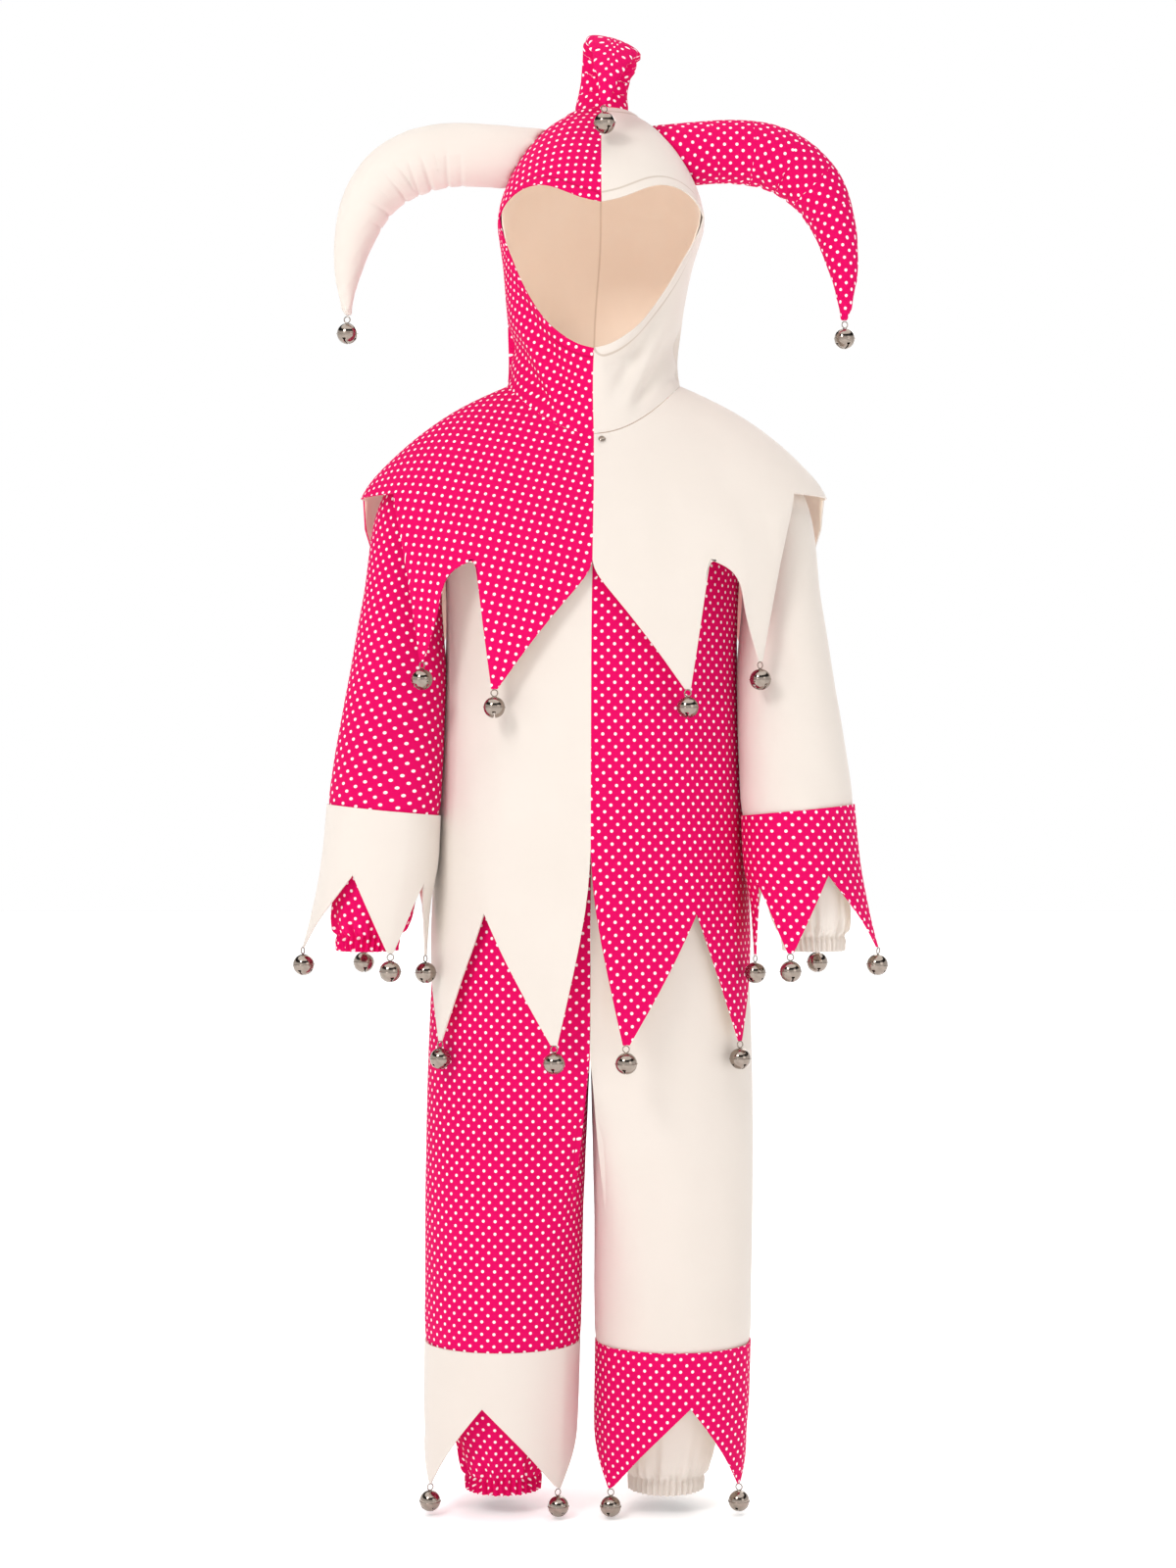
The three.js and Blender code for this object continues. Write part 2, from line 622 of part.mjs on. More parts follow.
function addCapeAndTunic({ side, mirrored, hoodColor, tunicColor }) {
  const capeTip = (TIP_HALF / 190) * (180 / Math.PI);
  const tunicTip = (TIP_HALF / 135) * (180 / Math.PI);
  for (const [face, from, to] of [['front', 0, 90], ['back', 90, 180]]) {
    const capeEdge = hemEdge(CAPE_HEM, from, to, capeTip, 8);
    const cape = girthPanel(capeSurface, capeEdge, CAPE_UPPER_ROWS, 3, CAPE_RINGS.length - 1, NECK.width);
    addMesh(`cape_${face}_${side}`, geometryOf(cape, mirrored), hoodColor);
    const tunicEdge = hemEdge(TUNIC_HEM, from, to, tunicTip, 11);
    const bottom = TUNIC_RINGS.length - 1;
    const tunic = girthPanel(tunicSurface, tunicEdge, TUNIC_UPPER_ROWS, 4, bottom, NECK.width);
    addMesh(`tunic_${face}_${side}`, geometryOf(tunic, mirrored), tunicColor);
  }
  const capeRow = (angle, z) => rowOfHeight(capeSurface, angle, z, 0, CAPE_RINGS.length - 1);
  const tunicRow = (angle, z) => rowOfHeight(tunicSurface, angle, z, 0, TUNIC_RINGS.length - 1);
  addHemBells('cape', side, mirrored, CAPE_HEM, capeSurface, capeRow);
  addHemBells('tunic', side, mirrored, TUNIC_HEM, tunicSurface, tunicRow);
}

function addSleeve({ side, mirrored, limbColor, trimColor }) {
  const columns = Array.from({ length: SLEEVE_SIDES }, (_, k) => (k * 360) / SLEEVE_SIDES);
  const rows = Array.from({ length: SLEEVE_ROWS.length + 1 }, (_, k) => k);
  const sleeve = wall({
    columns,
    rows: rows.length - 1,
    ring: true,
    place: (column, r) => ({
      point: sleeveSurface(column, rows[r]),
      normal: sleeveNormal(column, rows[r]),
    }),
  });
  addMesh(`sleeve_${side}`, geometryOf(sleeve, mirrored), limbColor);
  const edge = hemEdge(CUFF_HEM, -12, 347.9, 2.6, 24);
  const bottom = CUFF_SECTIONS.length - 1;
  const cuffRows = 3;
  const ends = new Map(edge.map(({ angle, z }) => [angle, rowOfHeight(cuffSurface, angle, z, 0, bottom)]));
  const cuff = wall({
    columns: edge.map(({ angle }) => angle),
    rows: cuffRows,
    ring: true,
    place: (column, r) => {
      const at = (ends.get(column) * r) / cuffRows;
      return { point: cuffSurface(column, at), normal: outward(cuffSurface, column, at, 0.02) };
    },
  });
  addMesh(`cuff_${side}`, geometryOf(cuff, mirrored), trimColor);
  const row = (angle, z) => rowOfHeight(cuffSurface, angle, z, 0, bottom);
  addHemBells('cuff', side, mirrored, CUFF_HEM, cuffSurface, row);
}

// Outward vector of a sleeve, taken from the section's own round form so that gathers stay even
function sleeveNormal(angle, at) {
  const plain = (turn, row) => (row < 1
    ? armholePoint(((turn % 360) + 360) % 360).lerp(sectionPoint(SLEEVE_ROWS[0], turn), Math.max(row, 0))
    : sectionPoint(rowAt(SLEEVE_ROWS, Math.min(row, SLEEVE_ROWS.length) - 1), turn));
  const middle = Math.min(Math.max(at, 0.1), SLEEVE_ROWS.length - 0.1);
  return outward(plain, angle, middle, 0.1);
}

function addLeg({ side, mirrored, limbColor, trimColor }) {
  const outer = Array.from({ length: LEG_SIDES_OUTER + 1 }, (_, k) => (k * 180) / LEG_SIDES_OUTER);
  const inner = Array.from({ length: LEG_SIDES_INNER - 1 }, (_, k) => 180 + ((k + 1) * INSEAM_HALF) / LEG_SIDES_INNER);
  const columns = [...outer, ...inner];
  const levels = [WAIST_Z, -380, -460, -540, CROTCH_Z, -680, LEG_FREE_Z,
    LEG_SEAM_Z + 4, LEG_SEAM_Z, -930, -974, -1004, ANKLE_Z];
  const crotchRow = levels.indexOf(CROTCH_Z);
  const plain = (column, z) => {
    const point = legSurface(column, z);
    point.x -= ANKLE_INSET * smooth(-z, -LEG_SEAM_Z, -ANKLE_Z);
    return point;
  };
  const place = (column, r) => {
    const z = levels[r];
    const step = z > CROTCH_Z + 20 || z < CROTCH_Z - 20 ? 2 : 0.5;
    const normal = outward((c, level) => plain(c, -level), column, -z, step);
    const ripple = columns.indexOf(column) % 2 === 0 ? ANKLE_GATHER : 0;
    const point = plain(column, z).addScaledVector(normal, ripple * smooth(-z, 974, 1004));
    return { point, normal };
  };
  const leg = wall({
    columns,
    rows: levels.length - 1,
    ring: true,
    place,
    keep: (c, r) => c < LEG_SIDES_OUTER || r >= crotchRow,
  });
  addMesh(`trouser_${side}`, geometryOf(leg, mirrored), limbColor);
  const edge = hemEdge(ANKLE_HEM, -53, 306.9, 1.9, 22);
  const cuffRows = 3;
  const heights = new Map(edge.map(({ angle, z }) => [angle, z]));
  const top = ANKLE_CUFF_RINGS[0].z;
  const down = (angle, level) => ankleCuffSurface(angle, -level);
  const cuff = wall({
    columns: edge.map(({ angle }) => angle),
    rows: cuffRows,
    ring: true,
    place: (column, r) => {
      const z = lerp(top, heights.get(column), r / cuffRows);
      return { point: ankleCuffSurface(column, z), normal: outward(down, column, -z, 1) };
    },
  });
  addMesh(`ankle_cuff_${side}`, geometryOf(cuff, mirrored), trimColor);
  addHemBells('ankle', side, mirrored, ANKLE_HEM, down, (angle, z) => -z);
}

// Row positions of the face opening's lower and upper edge at an angle
function faceRows(angle) {
  const last = HOOD_RINGS.length - 1;
  const low = between(FACE_EDGE, 'angle', 'low', angle);
  const high = between(FACE_EDGE, 'angle', 'high', angle);
  return [rowOfHeight(hoodSurface, angle, low, 0, last), rowOfHeight(hoodSurface, angle, high, 0, last)];
}

// Half of the hood or of its lining: `inset` is how far inside the hood's face it lies
function hoodHalf(mirrored, inset, thickness, start, stop, faceMargin, lowerRows, upperRows) {
  const turned = (angle, at) => {
    const point = hoodSurface(angle, at);
    const lean = catmull(HOOD_RINGS, 'shift', at);
    return mirrored ? vec(point.x - 2 * lean, point.y, point.z) : point;
  };
  const columns = offSeams(HOOD_COLUMNS, HOOD_RINGS[HOOD_RINGS.length - 1].width);
  const corner = HOOD_COLUMNS.indexOf(FACE_CORNER);
  const place = (column, r) => {
    const [low, high] = faceRows(Math.min(column, FACE_CORNER));
    const from = low - faceMargin;
    const to = Math.min(high + faceMargin, stop - 0.5);
    const at = r <= lowerRows
      ? lerp(start, from, r / lowerRows)
      : lerp(to, stop, (r - lowerRows - 1) / upperRows);
    const normal = outward(turned, column, at, 0.02).negate();
    return { point: turned(column, at).addScaledVector(normal, -inset), normal };
  };
  const rows = lowerRows + 1 + upperRows;
  const keep = (c, r) => c >= corner || r !== lowerRows;
  const half = wall({ columns, rows, place, keep, thickness });
  half.faces = half.faces.map(([a, b, c]) => [c, b, a]);
  return half;
}

// A point on the hood's side at a depth and height, pushed out a little, for a horn's root
function hoodSidePoint(y, z, mirrored) {
  const last = HOOD_RINGS.length - 1;
  let angle = 90;
  let at = 9;
  for (let k = 0; k < 20; k += 1) {
    at = rowOfHeight(hoodSurface, angle, z, 6, last);
    const ring = rowAt(HOOD_RINGS, at);
    const depth = y < 0 ? ring.front : ring.back;
    angle = 90 + THREE.MathUtils.radToDeg(Math.asin(THREE.MathUtils.clamp(y / depth, -0.98, 0.98)));
  }
  const point = hoodSurface(angle, at);
  const normal = outward(hoodSurface, angle, at, 0.02).negate();
  point.addScaledVector(normal, ROOT_GAP);
  if (mirrored) point.x -= 2 * catmull(HOOD_RINGS, 'shift', at);
  return point;
}

function addSideHorn({ side, mirrored, hoodColor }) {
  const own = mirrored ? RIGHT_HORN : LEFT_HORN;
  const placed = ({ x, z }) => vec(-x + own.shift, 0, HORN_TOP + own.rise - (HORN_TOP - z) * own.droop);
  const turns = Array.from({ length: HORN_SIDES }, (_, k) => (k * 360) / HORN_SIDES);
  const rootRing = (share) => turns.map((turn) => hoodSidePoint(
    HORN_ROOT.radius * share * Math.sin(rad(turn)),
    HORN_ROOT.z + own.rise + HORN_ROOT.radius * share * Math.cos(rad(turn)),
    mirrored,
  ));
  const rings = [rootRing(0.12), rootRing(0.55), rootRing(1)];
  SIDE_HORN.forEach((section, k) => {
    const before = SIDE_HORN[Math.max(k - 1, 0)];
    const after = SIDE_HORN[Math.min(k + 1, SIDE_HORN.length - 1)];
    const run = vec(before.x - after.x, 0, after.z - before.z).normalize();
    const up = vec(-run.z, 0, run.x);
    const centre = placed(section);
    rings.push(turns.map((turn) => centre.clone()
      .addScaledVector(up, section.radius * Math.cos(rad(turn)))
      .addScaledVector(vec(0, 1, 0), section.radius * Math.sin(rad(turn)))));
  });
  const horn = skinned(rings);
  const color = hoodColor === PINK ? CREAM : PINK;
  addMesh(`horn_${side}`, geometryOf(horn, mirrored), color);
  const tip = placed(SIDE_HORN[SIDE_HORN.length - 1]);
  addBell(`bell_horn_${side}`, vec(tip.x, 0, tip.z - 0.6), mirrored);
}

function addTopHorn() {
  const turns = Array.from({ length: HORN_SIDES }, (_, k) => (k * 360) / HORN_SIDES);
  const rings = TOP_HORN.map(({ x, y, z, across, deep, lean, roll }) => {
    const away = vec(0, Math.cos(rad(lean)), Math.sin(rad(lean)));
    const aside = vec(Math.cos(rad(roll)), 0, -Math.sin(rad(roll)));
    return turns.map((turn) => vec(x, y, z)
      .addScaledVector(aside, across * Math.cos(rad(turn)))
      .addScaledVector(away, deep * Math.sin(rad(turn))));
  });
  const horn = skinned(rings);
  horn.faces = horn.faces.map(([a, b, c]) => [c, b, a]);
  addMesh('horn_top', geometryOf(horn, false), PINK);
  const tip = TOP_HORN[TOP_HORN.length - 1];
  addBell('bell_horn_top', vec(tip.x, tip.y, tip.z - 0.5));
}

function addHood({ side, mirrored, hoodColor }) {
  const top = HOOD_RINGS.length - 1;
  const hood = hoodHalf(mirrored, 0, CLOTH, 0.02, top, 0, 5, 6);
  addMesh(`hood_${side}`, geometryOf(hood, mirrored), hoodColor);
  const lining = hoodHalf(mirrored, CLOTH + LINING_GAP, LINING, 0.3, top - 0.7, 0.45, 3, 4);
  addMesh(`hood_lining_${side}`, geometryOf(lining, mirrored), LINING_CREAM);
}

// Snap at the neckline, beside the front centre seam on the wearer's left
function addSnap() {
  const angle = THREE.MathUtils.radToDeg(Math.asin(SNAP_X / NECK.width));
  const at = 0.28;
  const snap = addMesh('neck_snap', new THREE.CylinderGeometry(SNAP_RADIUS, SNAP_RADIUS, SNAP_THICK, 16), NICKEL, 0.3, 0.9);
  const normal = outward(capeSurface, angle, at, 0.02);
  snap.position.copy(capeSurface(angle, at)).addScaledVector(normal, SNAP_THICK / 2 + SEAM_GAP);
  snap.quaternion.setFromUnitVectors(vec(0, 1, 0), normal);
}

for (const half of SIDES) {
  addCapeAndTunic(half);
  addSleeve(half);
  addLeg(half);
  addHood(half);
  addSideHorn(half);
}
addTopHorn();
addSnap();

export default costume;
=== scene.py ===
"""Looks of the jester costume: dotted pink and cream cloth, stuffed horns and nickel jingle bells.

Every cloth piece is a thin shell on its solid's form, laid out flat as its pattern piece is cut,
so that the dots and the weave lie in the cloth. Metres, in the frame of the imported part.
Left and right are the wearer's.
"""

import json
import math

import bmesh
import bpy
import numpy as np
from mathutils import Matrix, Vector, noise
from mathutils.kdtree import KDTree


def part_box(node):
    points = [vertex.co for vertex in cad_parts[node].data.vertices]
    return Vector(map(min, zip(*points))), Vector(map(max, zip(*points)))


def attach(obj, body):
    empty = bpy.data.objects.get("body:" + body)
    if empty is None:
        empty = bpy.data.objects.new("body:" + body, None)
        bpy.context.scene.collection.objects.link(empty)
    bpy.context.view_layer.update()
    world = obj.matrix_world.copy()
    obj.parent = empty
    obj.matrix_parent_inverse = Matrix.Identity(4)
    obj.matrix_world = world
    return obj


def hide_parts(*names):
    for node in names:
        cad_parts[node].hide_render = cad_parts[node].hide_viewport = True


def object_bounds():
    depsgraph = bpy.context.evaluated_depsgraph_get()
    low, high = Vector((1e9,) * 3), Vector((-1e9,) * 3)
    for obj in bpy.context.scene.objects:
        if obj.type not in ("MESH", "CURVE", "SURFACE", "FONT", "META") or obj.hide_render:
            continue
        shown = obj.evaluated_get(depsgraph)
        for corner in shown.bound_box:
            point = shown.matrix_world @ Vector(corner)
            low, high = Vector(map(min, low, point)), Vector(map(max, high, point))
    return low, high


MM = 0.001

# Camera: level, straight in front, with the photo's width and height at the origin's depth
CAMERA_BACK = 2.6
CAMERA_HEIGHT = -0.342
VIEW_HEIGHT = 1.52
CENTRE_SHIFT = -6 / 1600
SENSOR_SIZE = 36

# Dots, weave and stitches, the stitch rows darkened with painted shade
DOT_PITCH = 8.4 * MM
DOT_RADIUS = 1.45 * MM
DOT_BLUR = 0.025
WEAVE_PITCH = 0.9 * MM
WEAVE_RELIEF = 0.12 * MM
WEAVE_STRENGTH = 0.3
PUCKER_RELIEF = 1.1 * MM
PUCKER_STRENGTH = 0.35
PUCKER_SCALE = 55
STITCH_WIDTH = 1.3 * MM
PAINTED_STITCH_DARKNESS = 0.75

# Gloss of the cloths and the bells, and the scales of their spots
CLOTH_SPECULAR = 0.12
SHEEN_ROUGHNESS = 0.45
NICKEL_ROUGHNESS = 0.06
NICKEL_WEAR = 0.14
CREAM_DRIFT = 9
PINK_DRIFT = 7
TARNISH_SCALE = 220
WEAR_SCALE = 400

# Colours
PINK = (0.73, 0.0, 0.115)
PINK_SHADE = (0.64, 0.0, 0.095)
DOT_WHITE = (0.95, 0.86, 0.90)
CREAM = (0.75, 0.68, 0.62)
CREAM_SHADE = (0.70, 0.63, 0.565)
LINING = (0.96, 0.85, 0.73)
LINING_SHADE = (0.86, 0.69, 0.53)
# Painted light: an even glow on the lining and on the inner faces of the lined pieces, in place of light
# coming through the thin cloth and bouncing inside
LINING_PAINTED_GLOW = (1.0, 0.90, 0.86)
PAINTED_GLOW_STRENGTH = 0.10
# Painted shade: the stitch rows of the hood's hem and of the lining's back seam are darkened in colour, for
# the shade in the dip the stitches pull into the cloth
PAINTED_STITCH_SHADE = (0.72, 0.66, 0.60)
NICKEL = (0.41, 0.345, 0.295)
NICKEL_DULL = (0.235, 0.195, 0.165)

# Meshes of the cloth walls: CAD faces joined into quads, then subdivided
WELD_REACH = 0.02 * MM
JOIN_ANGLE = math.radians(35)
JOIN_CORNER = math.radians(170)
SHARP_EDGE = math.radians(48)
SHADED_EDGE = math.radians(50)
SMOOTH_LEVELS = 2
FINE_LEVELS = 3
UNWRAP_MARGIN = 0.002
CUT_EASE = 1.001

# Layout of a tube, unrolled row by row
ROW_HEIGHT = 0.5 * MM
FULL_ROW = 14

# Grain of the cut pieces, in degrees
CAPE_GRAIN = 30
SLEEVE_GRAIN = -14

# Folds: unevenness of the cloth, and how far a crease fades beyond its ends, as a share of its length
RIPPLE = 0.5 * MM
SMALL_RIPPLE = 0.4 * MM
BROAD_WAVES = 14
FINE_WAVES = 31
CREASE_END = 0.25

# Seams, hems and the hood's lining
SEAM_REACH = 1.2 * MM
SEAM_HOLD = 14 * MM
WALL_REACH = 3 * MM
HEM_WIDTH = 9 * MM
HEM_RISE = 1.2 * MM
HEM_STEP = 2 * MM
LINING_GROOVE = 1 * MM
LINING_BLEND = 20 * MM

# Where the hood's edges lie. To either side the face opening is narrower than its height above FACE_NARROW.
HOOD_MIDDLE = 0.004
HOOD_AXIS = (0.05, 0.2)
FACE_LOW = 0.06
FACE_BACK = 0.02
FACE_NARROW = 0.03
MIDDLE_CLEAR = 5 * MM
BACK_SEAM_LOW = 0.05
BACK_SEAM_WIDTH = 8 * MM
NECK_LOW = -0.05
NECK_TOP = 0.055
NECK_RADIUS = 0.10

# Where body, sleeves and legs stand: sway as (height, x), lines as the upper and the lower end (x, y, z)
BODY_SWAY = ((-1.010, -0.009), (-0.880, -0.006), (-0.600, -0.0035), (-0.200, -0.0025), (-0.060, 0.0))
CHEST_TOP = -0.15
SLEEVE_LINE = ((0.176, 0.000, -0.030), (0.210, -0.051, -0.500))
CUFF_LINE = ((0.200, -0.041, -0.366), (0.2165, -0.052, -0.530))
LEG_ASIDE = 0.0825
LEG_INSET = 0.0035
INSET_TOP = -0.879
INSET_LENGTH = 0.144

# Inner side of sleeve and cuff, eased towards the tunic between two heights, with a soft start and end
SLEEVE_RADIUS = 35 * MM
INNER_EASE = 5 * MM
EASE_TOP = -0.16
EASE_IN = 0.08
EASE_LOW = -0.46
EASE_OUT = 0.05

# Elastic ends of sleeves and trousers
ELASTIC_REACH = 90 * MM
ELASTIC_BAND = 14 * MM
DRAWN_DEPTH = 2.2 * MM
DRAWN_WIDTH = 3 * MM
PLEATS = 36
PLEAT_DEPTH = 1.8 * MM
PLEAT_FADE = 9 * MM
BLOUSE_RISE = 2.5 * MM
BLOUSE_HEIGHT = 30 * MM
BLOUSE_WIDTH = 14 * MM
WRINKLES = 11
WRINKLE_DEPTH = 4 * MM
WRINKLE_START = 6 * MM
WRINKLE_FADE = 22 * MM
WRINKLE_WANDER = 4.5

# Stuffed horns
HORN_STEP = 3 * MM
HORN_VOXEL = 5 * MM
HORN_FRAMES = 18
HORN_PRESSURE = 4
HORN_CAP = 3.5 * MM
HORN_RIPPLE = 0.6 * MM
HORN_WAVES = 40
ROOT_REACH = 3 * MM
ROOT_LENGTH = 8 * MM
TIP_LENGTH = 25 * MM
STATION = 12 * MM

# Bells: slots as angles in degrees from straight down
BELL_RADIUS = 10 * MM
SHELL = 0.7 * MM
BELL_GRID = 16
SLOT_HALF = 5.7
SLOT_END = 55
HOLE_RADIUS = 9.5
BAND_RISE = 0.1 * MM
BAND_WIRE = 0.5 * MM
RING_RADIUS = 3.1 * MM
RING_WIRE = 0.55 * MM
RING_SINK = 0.3 * MM
WIRE_SIDES = 8
PEA_RADIUS = 2.6 * MM
BELL_TILT = 4
BELL_TURN = 47

# Neck snap
SNAP_RADIUS = 2.9 * MM
SNAP_FLATNESS = 0.34
SNAP_RIM = 3.0 * MM
SNAP_WIRE = 0.45 * MM
SNAP_FACING = (0.05, -0.80, 0.60)

# Studio lights: place, what they point at, size and watts
LIGHTS = {
    "key": ((-1.6, -2.4, 1.6), (0, 0, -0.3), (0.9, 1.1), 42),
    "fill": ((2.2, -2.2, 0.4), (0, 0, -0.4), (1.4, 1.4), 7),
    "back": ((0.8, 2.6, 1.0), (0, 0, -0.3), (1.6, 1.6), 22),
}

# The world's brightness by height, from straight down (0) to straight up (1)
SKY_BANDS = ((0.0, 0.625), (0.67, 0.625), (0.69, 0.02), (0.84, 0.02), (0.87, 1.0))
SKY_STRENGTH = 1.6

# Floor
FLOOR_REACH = 12
FLOOR_GAP = 2 * MM
PAPER = (0.985, 0.985, 0.985)
PAPER_GLOW = 0.3

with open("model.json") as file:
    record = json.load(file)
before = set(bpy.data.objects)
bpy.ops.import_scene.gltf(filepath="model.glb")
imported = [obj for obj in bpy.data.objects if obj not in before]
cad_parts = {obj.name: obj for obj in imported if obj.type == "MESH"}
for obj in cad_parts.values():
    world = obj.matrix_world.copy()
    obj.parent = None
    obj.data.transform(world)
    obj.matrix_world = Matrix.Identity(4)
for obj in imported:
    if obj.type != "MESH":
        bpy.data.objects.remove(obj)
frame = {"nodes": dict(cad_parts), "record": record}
cad_low, cad_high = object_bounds()
nodes = frame["nodes"]


def add_object(name, data):
    """A new object in the scene."""
    obj = bpy.data.objects.new(name, data)
    bpy.context.scene.collection.objects.link(obj)
    return obj


def make_camera():
    """The photo's view: level and straight in front."""
    data = bpy.data.cameras.new("camera")
    camera = add_object("camera", data)
    camera.location = (0, -CAMERA_BACK, CAMERA_HEIGHT)
    camera.rotation_euler = (math.radians(90), 0, 0)
    data.sensor_width = SENSOR_SIZE
    data.lens = data.sensor_width * CAMERA_BACK / VIEW_HEIGHT
    data.shift_x = CENTRE_SHIFT
    bpy.context.scene.camera = camera


# Materials


def cloth_nodes(name, roughness, sheen):
    """A fabric material with its weave as bump: the tree, its shader and the cloth's own flat coordinates."""
    material = bpy.data.materials.new(name)
    material.use_nodes = True
    tree = material.node_tree
    shader = tree.nodes["Principled BSDF"]
    shader.inputs["Roughness"].default_value = roughness
    shader.inputs["Sheen Weight"].default_value = sheen
    shader.inputs["Sheen Roughness"].default_value = SHEEN_ROUGHNESS
    shader.inputs["Specular IOR Level"].default_value = CLOTH_SPECULAR
    flat = tree.nodes.new("ShaderNodeUVMap")
    flat.uv_map = "cloth"
    split = tree.nodes.new("ShaderNodeSeparateXYZ")
    tree.links.new(flat.outputs["UV"], split.inputs[0])
    threads = [thread_wave(tree, split.outputs[axis]) for axis in ("X", "Y")]
    weave = math_node(tree, "MULTIPLY", *threads)
    pucker = tree.nodes.new("ShaderNodeTexNoise")
    pucker.inputs["Scale"].default_value = PUCKER_SCALE
    pucker.inputs["Detail"].default_value = 3
    place = tree.nodes.new("ShaderNodeTexCoord")
    tree.links.new(place.outputs["Object"], pucker.inputs["Vector"])
    soft = tree.nodes.new("ShaderNodeBump")
    soft.inputs["Strength"].default_value = PUCKER_STRENGTH
    soft.inputs["Distance"].default_value = PUCKER_RELIEF
    tree.links.new(pucker.outputs["Fac"], soft.inputs["Height"])
    fine = tree.nodes.new("ShaderNodeBump")
    fine.inputs["Strength"].default_value = WEAVE_STRENGTH
    fine.inputs["Distance"].default_value = WEAVE_RELIEF
    tree.links.new(weave, fine.inputs["Height"])
    tree.links.new(soft.outputs["Normal"], fine.inputs["Normal"])
    tree.links.new(fine.outputs["Normal"], shader.inputs["Normal"])
    return material, tree, shader, flat


def math_node(tree, operation, first, second):
    """The result of a Math node, whose inputs are numbers or other nodes' outputs."""
    node = tree.nodes.new("ShaderNodeMath")
    node.operation = operation
    for socket, value in zip(node.inputs, (first, second)):
        if isinstance(value, (int, float)):
            socket.default_value = value
        else:
            tree.links.new(value, socket)
    return node.outputs[0]


def thread_wave(tree, coordinate):
    """The rise and fall of the threads that lie across one direction of the cloth."""
    turns = math_node(tree, "MULTIPLY", coordinate, 2 * math.pi / WEAVE_PITCH)
    return math_node(tree, "SINE", turns, 0)


def mottled(tree, light, shade, scale):
    """A colour that drifts between two tones over the cloth."""
    place = tree.nodes.new("ShaderNodeTexCoord")
    drift = tree.nodes.new("ShaderNodeTexNoise")
    drift.inputs["Scale"].default_value = scale
    drift.inputs["Detail"].default_value = 4
    tree.links.new(place.outputs["Object"], drift.inputs["Vector"])
    mix = tree.nodes.new("ShaderNodeMix")
    mix.data_type = "RGBA"
    tree.links.new(drift.outputs["Fac"], mix.inputs["Factor"])
    mix.inputs["A"].default_value = (*shade, 1)
    mix.inputs["B"].default_value = (*light, 1)
    return mix.outputs["Result"]


def shade_stitch_line(tree, colour):
    """Darkens a colour along the row of stitches where a hem ends: the stitches, with painted shade for the
    dip they pull into the cloth.
    """
    depth = tree.nodes.new("ShaderNodeAttribute")
    depth.attribute_name = "hem"
    away = math_node(tree, "SUBTRACT", depth.outputs["Fac"], HEM_WIDTH)
    apart = math_node(tree, "ABSOLUTE", away, 0)
    line = tree.nodes.new("ShaderNodeMapRange")
    line.inputs["From Min"].default_value = STITCH_WIDTH
    line.inputs["From Max"].default_value = STITCH_WIDTH / 2
    line.inputs["To Max"].default_value = PAINTED_STITCH_DARKNESS
    tree.links.new(apart, line.inputs["Value"])
    mix = tree.nodes.new("ShaderNodeMix")
    mix.data_type = "RGBA"
    mix.blend_type = "MULTIPLY"
    tree.links.new(line.outputs["Result"], mix.inputs["Factor"])
    tree.links.new(colour, mix.inputs["A"])
    mix.inputs["B"].default_value = (*PAINTED_STITCH_SHADE, 1)
    return mix.outputs["Result"]


def plain_cloth(name, light, shade, roughness, sheen):
    """Plain woven cloth that drifts between two tones, with its rows of stitches darkened by painted shade.
    """
    material, tree, shader, _ = cloth_nodes(name, roughness, sheen)
    colour = mottled(tree, light, shade, CREAM_DRIFT)
    tree.links.new(shade_stitch_line(tree, colour), shader.inputs["Base Color"])
    return material


def even_glow(material, colour, strength):
    """A faint even glow set on a material, which no lamp gives: on the lining it is painted light, standing
    in for light that comes through the thin cloth from behind; on the floor it keeps the paper evenly white.
    """
    shader = material.node_tree.nodes["Principled BSDF"]
    shader.inputs["Emission Color"].default_value = (*colour, 1)
    shader.inputs["Emission Strength"].default_value = strength


def dotted_cloth(name):
    """Pink cloth with a staggered lattice of small white dots."""
    material, tree, shader, flat = cloth_nodes(name, 0.85, 0.0)
    turn = tree.nodes.new("ShaderNodeMapping")
    turn.inputs["Rotation"].default_value[2] = math.radians(45)
    turn.inputs["Scale"].default_value = (1 / DOT_PITCH, 1 / DOT_PITCH, 1)
    tree.links.new(flat.outputs["UV"], turn.inputs["Vector"])
    cells = tree.nodes.new("ShaderNodeTexVoronoi")
    cells.voronoi_dimensions = "2D"
    cells.inputs["Scale"].default_value = 1
    cells.inputs["Randomness"].default_value = 0
    tree.links.new(turn.outputs["Vector"], cells.inputs["Vector"])
    edge = tree.nodes.new("ShaderNodeMapRange")
    radius = DOT_RADIUS / DOT_PITCH
    edge.inputs["From Min"].default_value = radius + DOT_BLUR
    edge.inputs["From Max"].default_value = radius - DOT_BLUR
    tree.links.new(cells.outputs["Distance"], edge.inputs["Value"])
    mix = tree.nodes.new("ShaderNodeMix")
    mix.data_type = "RGBA"
    tree.links.new(edge.outputs["Result"], mix.inputs["Factor"])
    tree.links.new(mottled(tree, PINK, PINK_SHADE, PINK_DRIFT), mix.inputs["A"])
    mix.inputs["B"].default_value = (*DOT_WHITE, 1)
    tree.links.new(shade_stitch_line(tree, mix.outputs["Result"]), shader.inputs["Base Color"])
    return material


